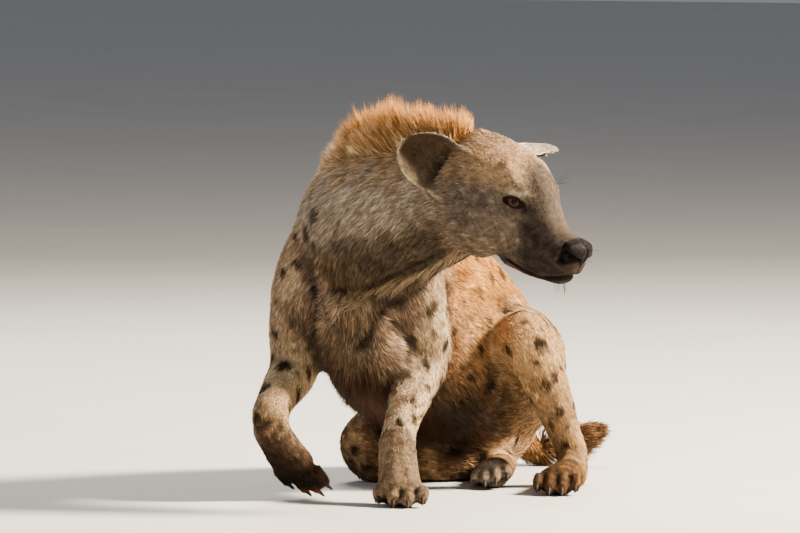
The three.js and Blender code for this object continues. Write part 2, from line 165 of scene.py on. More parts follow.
# Bones and muscles: place, reach along x, y and z, and how far the skin stands out or in
BODY_FORMS = (
    ((-30, 168, 345), (46, 60, 62), 5), ((-60, 190, 412), (40, 46, 34), 5),
    ((-262, 150, 335), (40, 52, 62), 5), ((-205, 175, 420), (40, 46, 34), 4),
    ((-72, 252, 224), (26, 22, 26), 4), ((-276, 220, 200), (24, 20, 24), 4),
    ((52, 340, 246), (26, 22, 24), 5), ((60, 380, 190), (24, 26, 38), 3),
    ((84, 486, 52), (16, 16, 22), 5), ((-20, 470, 250), (50, 60, 42), 4),
    ((-60, 560, 215), (46, 44, 36), 5), ((-220, 560, 140), (40, 50, 40), 4),
    ((-128, 96, 300), (34, 34, 40), 4), ((-128, 120, 225), (44, 40, 34), 5),
    ((-44, 300, 300), (30, 40, 60), -4), ((-60, 150, 150), (14, 14, 16), 2),
    ((-34, 62, 104), (10, 12, 12), 2), ((-66, 530, 36), (14, 14, 16), 5),
    ((-30, 410, 290), (40, 30, 40), -3),
)
HEAD_FORMS = (
    ((102, 60, 42), (26, 20, 20), -5), ((112, 62, 6), (34, 16, 10), 4),
    ((152, 46, 12), (15, 12, 9), -4), ((137, 45, 56), (19, 14, 8), 5.5),
    ((220, 32, -12), (20, 14, 14), 2.5), ((190, 34, 10), (22, 14, 12), -2.5),
    ((112, 0, 96), (34, 8, 16), -2.5), ((186, 0, 30), (30, 10, 12), 2),
    ((70, 70, -30), (34, 20, 34), 4), ((238, 0, -56), (14, 20, 14), 3),
    ((170, 34, -56), (30, 16, 14), -2), ((60, 0, 108), (40, 14, 18), 3.5),
)
# Folds and creases: points, reach and depth, negative inwards
THROAT_FOLD = ((86, 29, 384), (41, 48, 362), (0, 60, 345), (-36, 74, 333), (-83, 92, 316), (-134, 88, 309))
THROAT_RIDGE = ((70, 22, 372), (20, 46, 352), (-20, 64, 336), (-60, 84, 322), (-100, 92, 312))
FOLDS = (
    (THROAT_FOLD, 6, -8),
    (((70, 12, 386), (20, 30, 366), (-30, 52, 350), (-84, 72, 334), (-150, 78, 326)), 6, -3.5),
    (THROAT_RIDGE, 5, 5),
    (((-59, 127, 307), (-83, 107, 289), (-99, 105, 261), (-117, 105, 238)), 7, -4),
    (((-190, 92, 330), (-196, 96, 290), (-200, 104, 250)), 8, -5),
    (((-176, 84, 318), (-168, 92, 280), (-150, 96, 262)), 6, -3),
    (((-104, 214, 300), (-104, 230, 250), (-110, 250, 215)), 10, -5),
    (((-224, 214, 300), (-226, 236, 250), (-220, 250, 215)), 10, -5),
    (((-70, 262, 252), (-54, 236, 214), (-50, 206, 206)), 5, -3),
    (((-40, 470, 140), (-20, 430, 130), (0, 390, 170)), 9, -5),
    (((-150, 700, 150), (-172, 690, 110), (-160, 684, 78)), 7, -4),
)
# The folds of throat and chest, whose creases also get painted shade and whose ridge a painted highlight in
# the coat's colour
PAINTED_FOLDS = FOLDS[:6]

# Dark spots that the photograph shows: x, y, z and radius; then how far apart the others are
SPOTS = (
    (51, 352, 262, 8), (83, 338, 232, 12), (22, 341, 220, 9), (77, 332, 203, 6), (98, 361, 180, 9),
    (84, 352, 166, 11), (45, 375, 140, 7), (94, 387, 122, 9), (71, 396, 98, 8), (60, 392, 92, 7),
    (89, 420, 68, 9), (100, 411, 96, 7), (77, 359, 259, 6), (102, 379, 195, 6), (-27, 182, 254, 8),
    (-41, 190, 207, 9), (-28, 169, 175, 9), (-29, 113, 159, 11), (-16, 96, 130, 10), (-30, 64, 128, 9),
    (-32, 50, 111, 8), (-261, 59, 175, 13), (-267, 80, 188, 9), (-272, 70, 168, 11), (-179, 62, 441, 16),
    (-201, 84, 412, 14), (-178, 67, 390, 12), (-223, 107, 362, 8), (-250, 111, 349, 8), (-261, 104, 303, 8),
    (-236, 106, 276, 9), (-277, 127, 252, 9), (-255, 372, 53, 8), (-265, 378, 31, 7), (-235, 364, 22, 8),
    (-36, 334, 180, 9), (-60, 332, 140, 10), (-80, 318, 125, 9), (-22, 341, 218, 9), (-29, 387, 161, 8),
    (-26, 293, 299, 9), (-23, 343, 312, 8), (-14, 362, 264, 8), (-33, 273, 253, 9),
)
SPOT_SPACING = 42
SPOT_TRIALS = 6000


def linear(code):
    """A colour written as six hexadecimal digits, as linear light."""
    parts = np.array([int(code[i:i + 2], 16) for i in (0, 2, 4)]) / 255
    return np.where(parts <= 0.04045, parts / 12.92, ((parts + 0.055) / 1.055) ** 2.4)


COLOURS = {name: linear(code) for name, code in {
    "straw": "b5a490", "grizzle_and_shade": "604f3b", "buff_and_shade": "a68c72", "flank": "d49348", "belly": "2b1a0f",
    "cream": "f6d5a8", "golden": "d0a675", "shade": "66472f", "spot": "170f0a", "fringe": "44240a",
    "face": "776859", "crown_light": "d8ac7e", "pale": "e2d2ac", "muzzle": "4a4038", "lips": "120d0b",
    "socket": "18100d", "ear": "6a5743", "rim": "d8c5a0", "nape": "382a20", "rust": "cf9a58",
    "gold": "b4741e", "paw": "937b5f", "toes": "33261d", "sole": "2e2622", "pad": "8a7e72",
    "tuft": "76583b", "toe_light": "b5661e", "gum": "80565a",
}.items()}
# Colours that the panel offers
USER_COLOURS = {
    "flank": "Coat of the body's sides", "straw": "Coat of the neck", "cream": "Coat of the forelegs",
    "golden": "Coat of the hind legs", "rust": "Roots of the mane", "spot": "Dark spots",
}


# Smooth numbers over space and over the surface

def ramp(x, low, high):
    """0 below low, 1 above high, smooth between; falls instead when low is above high."""
    t = np.clip((np.asarray(x, float) - low) / (high - low), 0, 1)
    return t * t * (3 - 2 * t)


def waves(p, size, seed):
    """Soft irregular numbers of about -1 to 1 over places in millimetres, with bumps about size across."""
    rng = np.random.default_rng(seed)
    total = np.zeros(len(p))
    for _ in range(6):
        way = rng.normal(size=3)
        way *= 2 * math.pi / (size * rng.uniform(0.7, 1.6) * np.linalg.norm(way))
        total += np.sin(p @ way + rng.uniform(0, 6.28) + 1.3 * np.sin(p @ np.roll(way, 1) * 0.7))
    return total / 3


def unit(v):
    return v / np.maximum(np.linalg.norm(v, axis=-1, keepdims=True), 1e-12)


def mix(a, b, share):
    return a + (b - a) * np.asarray(share)[:, None]


def line_distance(p, line):
    """Distance of each place from a broken line, and how far along it the nearest point is, 0 to 1."""
    line = np.asarray(line, float)
    steps = np.linalg.norm(np.diff(line, axis=0), axis=1)
    before = np.concatenate([[0], np.cumsum(steps)])
    best = np.full(len(p), 1e9)
    along = np.zeros(len(p))
    for i, (a, b) in enumerate(zip(line[:-1], line[1:])):
        ab = b - a
        t = np.clip((p - a) @ ab / (ab @ ab), 0, 1)
        d = np.linalg.norm(p - a - t[:, None] * ab, axis=1)
        near = d < best
        best[near] = d[near]
        along[near] = (before[i] + t[near] * steps[i]) / before[-1]
    return best, along


def on_line(values, along):
    """Values given at even marks of a line, at places some share of the way along it."""
    values = np.asarray(values, float)
    marks = np.linspace(0, 1, len(values))
    return np.stack([np.interp(along, marks, values[:, k]) for k in range(3)], axis=1)


def headings(line):
    """The direction that a broken line takes at each of its points."""
    return unit(np.gradient(np.asarray(line, float), axis=0))


def laid(ways, normals):
    """Directions laid flat on the surface."""
    return unit(ways - normals * np.sum(ways * normals, axis=1, keepdims=True))


def family_guides():
    """Places, reaches, directions and family numbers of all guides."""
    places, reaches, ways, family = [], [], [], []

    def add(name, points, reach):
        places.append(points)
        reaches.append(reach)
        ways.append(headings(points))
        family.append(np.full(len(points), FAMILIES.index(name)))

    for name, stations in LIE.items():
        stations = np.array(stations, float)
        hold = LIMB_HOLD if name in LIMB_FAMILIES else 1
        add(name, stations[:, :3], stations[:, 3] * hold)
    head = np.array(HEAD_LIE, float)
    add("head", head[:, :3] @ HEAD_AXES + HEAD_BASE, head[:, 3])
    return np.concatenate(places), np.concatenate(reaches), np.concatenate(ways), np.concatenate(family)


def ear_place(h, name):
    """Places on an ear: out along it, across it and in front of its middle, then its opening's way."""
    ear = EARS[name]
    along = unit(np.array(ear["along"]))
    opening = np.array(ear["opening"])
    opening = unit(opening - along * (opening @ along))
    across = np.cross(along, opening)
    local = (h - np.array(ear["root"])) @ np.stack([along, across, opening]).T
    t = np.clip(local[:, 0] / EAR_LENGTH, 0, 1)
    wide = EAR_HALF_WIDTH * np.sin(np.pi * (0.22 + 0.765 * t)) ** 0.5
    s = local[:, 1] / wide
    bowl = (30 * (1 - t) ** 0.8 + 5) * (s * s - 1) - 3.5
    return local[:, 0], s, local[:, 2] - bowl, opening


def coat_fields(co, normals):
    """Shares of the families, and the lie of the coat, at each place."""
    p = body_mm(co)
    places, reaches, ways, family = family_guides()
    shares = np.zeros((len(p), len(FAMILIES)))
    lie = np.zeros((len(p), 3))
    for place, reach, way, index in zip(places, reaches, ways, family):
        weight = (np.sum((p - place) ** 2, axis=1) / reach ** 2 + 0.05) ** -3
        shares[:, index] += weight
        lie += weight[:, None] * way
    shares /= shares.sum(axis=1, keepdims=True)
    lie = unit(lie)
    h = head_mm(co)
    for name, ear in EARS.items():
        out, across, off, _ = ear_place(h, name)
        on = ramp(np.abs(off), 13, 8) * ramp(np.abs(across), 1.35, 1.1)
        on = on * ramp(out, -8, 4) * ramp(out, 110, 102)
        shares *= (1 - on)[:, None]
        shares[:, FAMILIES.index(name)] += on
        lie = mix(lie, unit(np.array(ear["along"])) @ HEAD_AXES, on)
    long_hair = shares @ np.array([min(COAT[name][0] / 40, 1) for name in FAMILIES])
    lie[:, 2] -= 0.55 * long_hair ** 2 * ramp(normals[:, 2], 0.5, -0.2)
    crest = np.array(CREST, float)[:, :2]
    away = p[:, :2] - crest[np.argmin(np.linalg.norm(p[:, None, :2] - crest[None], axis=2), axis=1)]
    lie[:, 2] -= share_of(shares, "neck") * 0.5 * ramp(np.linalg.norm(away, axis=1), 20, 70)
    return shares, laid(lie, normals)


def family_value(shares, column):
    """One column of the coat's table, mixed by the shares of the families."""
    return shares @ np.array([COAT[name][column] for name in FAMILIES], float)


def share_of(shares, *names):
    """The share that some families have together."""
    return sum(shares[:, FAMILIES.index(name)] for name in names)


# Eyes: x runs towards the nose, y up the lids and z out of the eye

def eye_axes(side):
    out = unit(mirrored(EYE_AXIS, side))
    ahead = np.array((1.0, -0.4 * side, 0.14))
    ahead = unit(ahead - out * (ahead @ out))
    return np.stack([ahead, np.cross(out, ahead) * side, out])


def eye_local(h, side):
    """Places in millimetres about an eye's centre, in its own axes."""
    local = (h - mirrored(EYE_PLACE, side)) @ eye_axes(side).T
    local[:, 1] *= 1 if eye_axes(side)[1] @ (0, 0, 1) > 0 else -1
    return local


LID_HALF = 12.8
LID_MIDDLE = -0.5


def lid_edges(x):
    """Heights of the upper and lower lid's edge along the eye."""
    t = np.clip(np.abs((x - LID_MIDDLE) / LID_HALF), 0, 1)
    return 5.0 * (1 - t ** 2.2) - 0.08 * x, -5.2 * (1 - t ** 2) - 0.12 * x


def lid_distance(local):
    """Distance outside the opening of the lids, negative inside it."""
    upper, lower = lid_edges(local[:, 0])
    beyond = np.abs(local[:, 0] - LID_MIDDLE) - LID_HALF
    inside = np.maximum(local[:, 1] - upper, lower - local[:, 1])
    return np.where(beyond > 0, np.hypot(beyond, np.maximum(inside, 0)), inside)


def mouth_height(h):
    """Height above the line of the closed mouth."""
    return h[:, 2] - np.interp(h[:, 0], (138, 150, 180, 215, 240, 256), (-47, -55, -60.5, -58, -46, -37))


def nose_share(h):
    """1 where the nose leather covers the skin."""
    low = np.interp(h[:, 0], (240, 248, 254, 260), (-22.5, -21.5, -17, -12))
    return ramp(h[:, 0], 233, 238.5) * ramp(h[:, 2] - low, 0, 4)


def crest_distance(p):
    """Distance from the crest of the mane seen from above, and its height and half width there."""
    crest = np.array(CREST, float)
    off, along = line_distance(p * (1, 1, 0), crest[:, :3] * (1, 1, 0))
    steps = np.linalg.norm(np.diff(crest[:, :2], axis=0), axis=1)
    marks = np.concatenate([[0], np.cumsum(steps)]) / steps.sum()
    return off, np.interp(along, marks, crest[:, 2]), np.interp(along, marks, crest[:, 3])


# Markings, the same for the skin and for the coat

def hidden_spots(co, normals, shares):
    """The spots seen, and others spread evenly over flanks, back, rump and thighs."""
    p = body_mm(co)
    zone = share_of(shares, "trunk", "arm_right", "leg_right", "leg_left", "arm_left")
    zone = (zone > 0.6) & (p[:, 2] > 40) & (normals[:, 2] > -0.3)
    rng = np.random.default_rng(21)
    order = rng.permutation(np.flatnonzero(zone))[:SPOT_TRIALS]
    chosen = [np.array(spot[:3], float) for spot in SPOTS]
    radii = [spot[3] for spot in SPOTS]
    for i in order:
        if min(np.sum((p[i] - c) ** 2) for c in chosen) > SPOT_SPACING ** 2:
            chosen.append(p[i])
            radii.append(rng.uniform(7, 12.5))
    return np.array(chosen), np.array(radii)


def hollows(co, normals, edges):
    """How far each vertex lies below its surroundings, in millimetres, negative on ridges."""
    return np.sum((relax(co, edges, np.full(len(co), 0.6), 24) - co) * normals, axis=1) * PER_METRE


def spot_share(p):
    """How much of each place a dark spot covers."""
    places, radii = STORE["spots"]
    p = p + np.stack([waves(p, 16, 31 + k) for k in range(3)], axis=1) * 2.6
    dark = np.zeros(len(p))
    for place, radius in zip(places, radii):
        d = np.sqrt(np.sum((p - place) ** 2, axis=1)) / radius
        dark = np.maximum(dark, ramp(d, 1.5, 0.85))
    return dark


class Ground:
    """What the markings follow: places on body and head, normals, families, and clouds of soft numbers."""

    def __init__(self, co, normals, shares):
        self.p, self.h, self.normals, self.shares = body_mm(co), head_mm(co), normals, shares
        self.z, self.up = self.p[:, 2], normals[:, 2]
        self.soft, self.fine = waves(self.p, 60, 1), waves(self.p, 17, 2)
        self.bands = waves(self.p * (1, 1, 2.4), 34, 8)

    def of(self, *names):
        return share_of(self.shares, *names)

    def paint(self, name):
        return Paint(np.tile(COLOURS[name], (len(self.p), 1)))


class Paint:
    """A colour for each place, built up in layers."""

    def __init__(self, rgb):
        self.rgb = rgb

    def lay(self, tone, share):
        """Covers a share of what is there with a named colour or with another paint."""
        self.rgb = mix(self.rgb, COLOURS[tone] if isinstance(tone, str) else tone.rgb, share)

    def times(self, factor):
        self.rgb = self.rgb * factor[:, None]


def body_colours(g):
    """Flank, back, belly, neck and brisket, with painted shade under the trunk and neck, on the
    forward-facing lower trunk and on the brisket.
    """
    colour = g.paint("flank")
    front = np.maximum(ramp(g.p[:, 1] + 10 * g.soft, 300, 220), ramp(g.p[:, 0] + 10 * g.soft, -130, -190))
    colour.lay("buff_and_shade", front)
    colour.lay("grizzle_and_shade", 0.35 * ramp(g.up, 0.25, 0.9) + 0.15 * ramp(g.fine, 0, 1))
    trunk = g.of("trunk", "brisket")
    # Painted shade: the lower trunk turns greyer where it faces forward
    shaded_side = 0.6 * trunk * ramp(g.z + 12 * g.soft, 330, 240)
    colour.lay("buff_and_shade", shaded_side * ramp(g.normals[:, 1], 0.3, -0.3))
    # A darker belly, deepened as painted shade; then painted shade on the trunk wherever it faces downwards
    low = ramp(g.z + 14 * g.soft, 205, 100) * trunk
    colour.lay("belly", 0.85 * low)
    under = ramp(g.up, 0.1, -0.6) * trunk
    colour.lay("belly", 0.65 * under)
    neck = g.paint("straw")
    neck.lay("golden", 0.7 * ramp(g.z + 16 * g.soft, 470, 540))
    # Painted shade: the neck turns grizzled where it faces downwards; the fine patches are the coat's own
    # grizzle
    around = ramp(g.up + 0.12 * g.soft, 0.05, -0.5)
    neck.lay("grizzle_and_shade", 0.85 * around + 0.35 * ramp(g.fine + 0.6 * g.soft, 0, 1))
    colour.lay(neck, ramp(g.of("neck"), 0.25, 0.7))
    # Grey-buff brisket and dark fringe, both painted darker as the shadow of the forelegs
    brisket = g.of("brisket")
    colour.lay("grizzle_and_shade", 0.7 * ramp(brisket, 0.15, 0.6))
    colour.lay("belly", 0.4 * ramp(brisket, 0.2, 0.6) * ramp(g.z + 8 * g.soft, 270, 210))
    colour.lay("fringe", 0.85 * ramp(brisket, 0.2, 0.6) * ramp(g.z + 8 * g.soft, 215, 170))
    return colour


def lay_legs(colour, g):
    """Paler forelegs, golden hind legs, and faint bands on shin and lifted foreleg; painted shade on the
    inner side of the left forearm and on the right thigh.
    """
    hind = ramp(g.of("leg_left", "leg_right"), 0.3, 0.7)
    leg = g.paint("cream")
    leg.lay("golden", hind)
    leg.lay("shade", 0.5 * ramp(g.soft + g.fine * 0.4, 0.1, 1.2))
    leg.lay("shade", 0.3 * hind * ramp(g.z + 10 * g.fine, 80, 40))
    leg.lay("buff_and_shade", 0.65 * ramp(g.of("arm_right"), 0.3, 0.7) * ramp(g.z, 210, 270))
    shin = ramp(g.of("arm_left"), 0.4, 0.8) * ramp(g.z + 12 * g.fine, 285, 215)
    # Painted shade: the left forearm turns greyer on its inner side
    leg.lay("buff_and_shade", 0.65 * shin * ramp(g.p[:, 0] + 8 * g.fine, -20, -44))
    leg.lay("shade", 0.75 * shin * ramp(g.bands, 0.15, 0.75) * ramp(g.z, 215, 150))
    colour.lay(leg, ramp(g.of(*LIMB_FAMILIES), 0.3, 0.75) * ramp(g.z, 420, 330))
    lifted = ramp(g.of("arm_right", "forepaw_right"), 0.4, 0.8)
    colour.lay("golden", 0.6 * lifted * ramp(g.z + 14 * g.soft, 205, 150))
    banded = 0.4 * ramp(g.bands, 0.1, 0.8) * ramp(g.z, 190, 150)
    colour.lay("shade", lifted * (0.85 * ramp(g.z + 10 * g.soft, 92, 60) + banded))
    # Painted shade on the right thigh, broken by soft patches
    colour.lay("belly", 0.75 * ramp(g.of("leg_right"), 0.4, 0.8) * ramp(g.soft + g.fine, -1, 0.4))


def lay_crest(colour, g):
    """Rust at the roots of the mane."""
    off, _, wide = crest_distance(g.p)
    crest = ramp(off / wide + 0.25 * g.fine, 1.9, 0.9) * ramp(g.up, 0.0, 0.5)
    crest *= ramp(g.of("neck", "trunk"), 0.5, 0.8) * ramp(g.z, 400, 450)
    colour.lay("rust", 0.7 * crest)


def lay_spots(colour, g, body):
    """Painted shade in the creases and a painted highlight on the ridge of throat and chest, then the
    spots.
    """
    # Painted shade along each crease, painted highlight along the ridge
    for line, reach, amount in PAINTED_FOLDS:
        beside = np.exp(-(line_distance(g.p, line)[0] / (reach + 2)) ** 2) * body
        colour.lay("spot" if amount < 0 else "pale", 0.75 * beside)
    firm = 0.82 + 0.14 * ramp(g.of(*LIMB_FAMILIES), 0.3, 0.7)
    colour.lay("spot", firm * spot_share(g.p) * (1 - ramp(g.of("head"), 0.2, 0.5)))


def lay_feet(colour, g):
    """Dark toes and soles, the pads of the turned foot, painted light on the lifted paw's lowest toes, and
    the tuft of the tail.
    """
    for name, tone, amount in (("forepaw_left", "paw", 0.85), ("forepaw_right", "toes", 0.8),
                               ("hindpaw_left", "toes", 0.85), ("hindpaw_right", "paw", 0.9)):
        near = ramp(g.of(name) + 0.25 * g.fine + 0.1 * g.soft, 0.2, 1.0)
        colour.lay(tone, amount * near)
        colour.lay("toes", 0.6 * near * ramp(g.fine, -0.1, 0.9))
        colour.lay("sole", near * ramp(g.up, -0.35, -0.8))
    turned = ramp(g.of("hindpaw_right"), 0.5, 0.9) * ramp(g.normals[:, 1], -0.25, -0.7)
    colour.lay("pad", 0.85 * turned)
    # Painted light: the lifted paw's lowest toes turn orange
    colour.lay("toe_light", ramp(g.of("forepaw_right"), 0.5, 0.9) * ramp(g.z, 22, 10) * 0.8)
    colour.lay("tuft", ramp(g.of("tail"), 0.4, 0.9) * ramp(g.p[:, 1], 740, 800) * 0.8)


def lay_eye(face, h, side):
    """The pale arch over an eye, and the dark below it, at its tear line, its corners and its lids."""
    local = eye_local(h, side)
    x, y = local[:, 0], local[:, 1]
    facing = ramp(local[:, 2], -6, 4)
    pale = np.exp(-((y - 15) / 4.5) ** 2 - ((x - 2) / 15) ** 2)
    face.lay("pale", 0.9 * pale * facing)
    under = np.exp(-((y + 15) / 5) ** 2 - ((x + 4) / 10) ** 2)
    face.lay("socket", 0.6 * under * facing)
    tear = np.exp(-((x - 19) / 7) ** 2 - ((y + 6) / 8) ** 2)
    face.lay("socket", 0.95 * tear * facing)
    corners = ramp(np.hypot(x / 18, (y - 0.5) / 7.5), 1.15, 0.85)
    face.lay("socket", corners * facing)
    lids = ramp(lid_distance(local), 6.0, 2.5)
    face.lay("socket", lids * facing * ramp(np.linalg.norm(local, axis=1), 27, 20))


def lay_face(colour, g):
    """Pale arches over the eyes, a paler top of the head brightened as painted light, dark muzzle and lips,
    and the line of the mouth.
    """
    f, side, up = g.h[:, 0], np.abs(g.h[:, 1]), g.h[:, 2]
    gap = mouth_height(g.h)
    face = g.paint("face")
    # Painted light: a paler, golden top of the head
    face.lay("crown_light", 0.85 * ramp(up + 8 * g.soft, 28, 66) * ramp(f, 160, 118))
    face.lay("grizzle_and_shade", 0.55 * ramp(up, 0, -40) * ramp(f, 40, 90))
    face.lay("straw", 0.3 * ramp(g.fine, 0.1, 1))
    line = f + 0.5 * np.maximum(up, -16) + 0.6 * np.maximum(-16 - up, 0) - 0.2 * side + 6 * g.soft
    face.lay("muzzle", 0.97 * ramp(line, 148, 178))
    patchy = 0.65 * ramp(line, 150, 172) * ramp(g.fine + 0.5 * g.soft, -0.5, 0.6)
    face.lay("lips", patchy * ramp(up, 34, 8))
    face.lay("lips", 0.5 * ramp(line, 165, 195) * ramp(up, 2, -26))
    face.lay("face", 0.5 * ramp(line, 150, 176) * ramp(up, 10, 26) * ramp(side, 26, 10))
    face.lay("pale", 0.3 * ramp(f, 240, 252) * ramp(gap, -9, -16))
    for sign in SIDES:
        lay_eye(face, g.h, sign)
    lips = ramp(np.abs(gap), 7, 2.5) * ramp(f, 138, 152)
    face.lay("lips", 0.9 * lips)
    face.lay("gum", 0.7 * np.exp(-((gap + 4.5) / 2) ** 2) * ramp(f, 146, 154) * ramp(f, 190, 176))
    face.times(1 + 0.2 * waves(g.h, 6, 12) + 0.14 * waves(g.h, 13, 13))
    colour.lay(face, ramp(g.of("head"), 0.45, 0.8))


def lay_ear(colour, g, name):
    """A dark inside with a pale rim, and a straw-coloured back that darkens outwards."""
    out, across, _, opening = ear_place(g.h, name)
    inner = g.paint("ear")
    inner.lay("nape", 0.75 * ramp(out + 16 * across, 18, 60))
    inner.lay("rim", 0.5 * ramp(out, 22, 0) + EARS[name]["pale_edge"] * ramp(across, -0.3, -0.8))
    ear = g.paint("straw")
    ear.lay("nape", 0.5 * ramp(out, 30, 80))
    ear.lay(inner, ramp((g.normals @ HEAD_AXES.T) @ opening, -0.1, 0.3))
    rim = np.maximum(ramp(np.abs(across), 0.88, 1.0), ramp(out, 89, 95))
    ear.lay("rim", rim * 0.85 * ramp(out, 4, 26))
    colour.lay(ear, ramp(g.of(name), 0.4, 0.75))


def markings(co, normals, shares, hollow):
    """Colour of the coat at each place, as linear light, with painted shade under the body and in hollows
    and a painted highlight on ridges.
    """
    g = Ground(co, normals, shares)
    body = 1 - ramp(g.of("head", *EARS), 0.3, 0.7)
    colour = body_colours(g)
    lay_legs(colour, g)
    lay_crest(colour, g)
    lay_spots(colour, g, body)
    lay_feet(colour, g)
    lay_face(colour, g)
    for name in EARS:
        lay_ear(colour, g, name)
    # Painted shade on the body wherever it faces downwards
    colour.times(1 - 0.5 * body * ramp(g.up + 0.1 * g.soft, 0.05, -0.7))
    mottle = 1 + 0.14 * waves(g.p, 9, 3) + 0.12 * g.fine + 0.12 * g.of("neck") * waves(g.p, 32, 14)
    # Painted shade in hollows and creases, and a painted highlight on ridges
    crease = (1 - 0.55 * ramp(hollow, 0.25, 1.6)) * (1 + 0.12 * ramp(hollow, -0.2, -1.2))
    colour.times(mottle * crease)
    return colour.rgb


# Meshes

def deselect():
    if bpy.context.object and bpy.context.object.mode != "OBJECT":
        bpy.ops.object.mode_set(mode="OBJECT")
    bpy.ops.object.select_all(action="DESELECT")


def take(piece):
    """Selects one piece alone and makes it active."""
    deselect()
    piece.select_set(True)
    bpy.context.view_layer.objects.active = piece


def smooth(piece):
    take(piece)
    bpy.ops.object.shade_smooth()


def apply_modifier(piece, kind, **settings):
    take(piece)
    modifier = piece.modifiers.new(kind.title(), kind)
    for key, value in settings.items():
        setattr(modifier, key, value)
    bpy.ops.object.modifier_apply(modifier=modifier.name)


def remesh(piece, size):
    """One closed surface of small even faces."""
    apply_modifier(piece, "REMESH", mode="VOXEL", voxel_size=size, adaptivity=0.0)


def mesh_from(name, vertices, triangles):
    mesh = bpy.data.meshes.new(name)
    mesh.vertices.add(len(vertices))
    mesh.vertices.foreach_set("co", np.ascontiguousarray(vertices, np.float32).ravel())
    mesh.loops.add(triangles.size)
    mesh.loops.foreach_set("vertex_index", np.ascontiguousarray(triangles, np.int32).ravel())
    mesh.polygons.add(len(triangles))
    mesh.polygons.foreach_set("loop_start", np.arange(0, triangles.size, 3, dtype=np.int32))
    mesh.update(calc_edges=True)
    piece = bpy.data.objects.new(name, mesh)
    bpy.context.scene.collection.objects.link(piece)
    return piece


def join_copies(name, nodes, grow):
    """One object from copies of CAD nodes, merged and grown by some millimetres."""
    copies = []
    for node in nodes:
        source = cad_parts[node]
        copy = bpy.data.objects.new(node + "_copy", source.data.copy())
        bpy.context.scene.collection.objects.link(copy)
        take(copy)
        bpy.ops.object.mode_set(mode="EDIT")
        bpy.ops.mesh.select_all(action="SELECT")
        bpy.ops.mesh.remove_doubles(threshold=0.00001)
        bpy.ops.object.mode_set(mode="OBJECT")
        co, normals = read_points(copy)
        write_points(copy, co + normals * grow * MM)
        copies.append(copy)
    deselect()
    for copy in copies:
        copy.select_set(True)
    bpy.context.view_layer.objects.active = copies[0]
    bpy.ops.object.join()
    whole = bpy.context.object
    whole.name = whole.data.name = name
    whole.data.materials.clear()
    return whole


def read_points(piece):
    mesh = piece.data
    co = np.empty(len(mesh.vertices) * 3, np.float32)
    mesh.vertices.foreach_get("co", co)
    normals = np.empty(len(mesh.vertices) * 3, np.float32)
    mesh.vertex_normals.foreach_get("vector", normals)
    return co.reshape(-1, 3).astype(float), normals.reshape(-1, 3).astype(float)


def write_points(piece, co):
    piece.data.vertices.foreach_set("co", np.ascontiguousarray(co, np.float32).ravel())
    piece.data.update()


def edges_of(piece):
    ends = np.empty(len(piece.data.edges) * 2, np.int32)
    piece.data.edges.foreach_get("vertices", ends)
    return ends.reshape(-1, 2)


def relax(co, edges, amount, rounds):
    """Moves each vertex towards the middle of its neighbours by amount, several times."""
    a, b = edges.T
    n = len(co)
    count = np.bincount(a, minlength=n) + np.bincount(b, minlength=n)
    count = np.maximum(count, 1)
    for _ in range(rounds):
        total = [np.bincount(a, co[b, k], n) + np.bincount(b, co[a, k], n) for k in range(3)]
        total = np.stack(total, axis=1)
        co = co + (total / count[:, None] - co) * amount[:, None]
    return co


def mark(piece, values):
    """Keeps a number for each vertex, which the materials read."""
    ring = piece.data.attributes.new("ring", "FLOAT", "POINT")
    ring.data.foreach_set("value", values.astype(np.float32))


def paint(piece, colours):
    """Keeps a colour for each vertex, which the materials read."""
    layer = piece.data.attributes.new("tint", "FLOAT_COLOR", "POINT")
    rgba = np.ones((len(colours), 4), np.float32)
    rgba[:, :3] = np.clip(colours, 0, 1)
    layer.data.foreach_set("color", rgba.ravel())


def triangles_of(piece):
    mesh = piece.data
    mesh.calc_loop_triangles()
    corners = np.empty(len(mesh.loop_triangles) * 3, np.int32)
    mesh.loop_triangles.foreach_get("vertices", corners)
    return corners.reshape(-1, 3)


def tree_of(points):
    """A search tree of places."""
    tree = KDTree(len(points))
    for i, point in enumerate(points):
        tree.insert(point, i)
    tree.balance()
    return tree


# Materials

class Value:
    """A number that comes out of a socket, for sums written as plain expressions."""

    def __init__(self, finish, socket):
        self.finish = finish
        self.socket = socket

    def apply(self, operation, other, turned=False):
        first, second = (other, self) if turned else (self, other)
        return self.finish.node("ShaderNodeMath", {"operation": operation}, {0: first, 1: second})

    def __add__(self, other):
        return self.apply("ADD", other)

    def __sub__(self, other):
        return self.apply("SUBTRACT", other)

    def __rsub__(self, other):
        return self.apply("SUBTRACT", other, True)

    def __mul__(self, other):
        return self.apply("MULTIPLY", other)

    __radd__ = __add__
    __rmul__ = __mul__


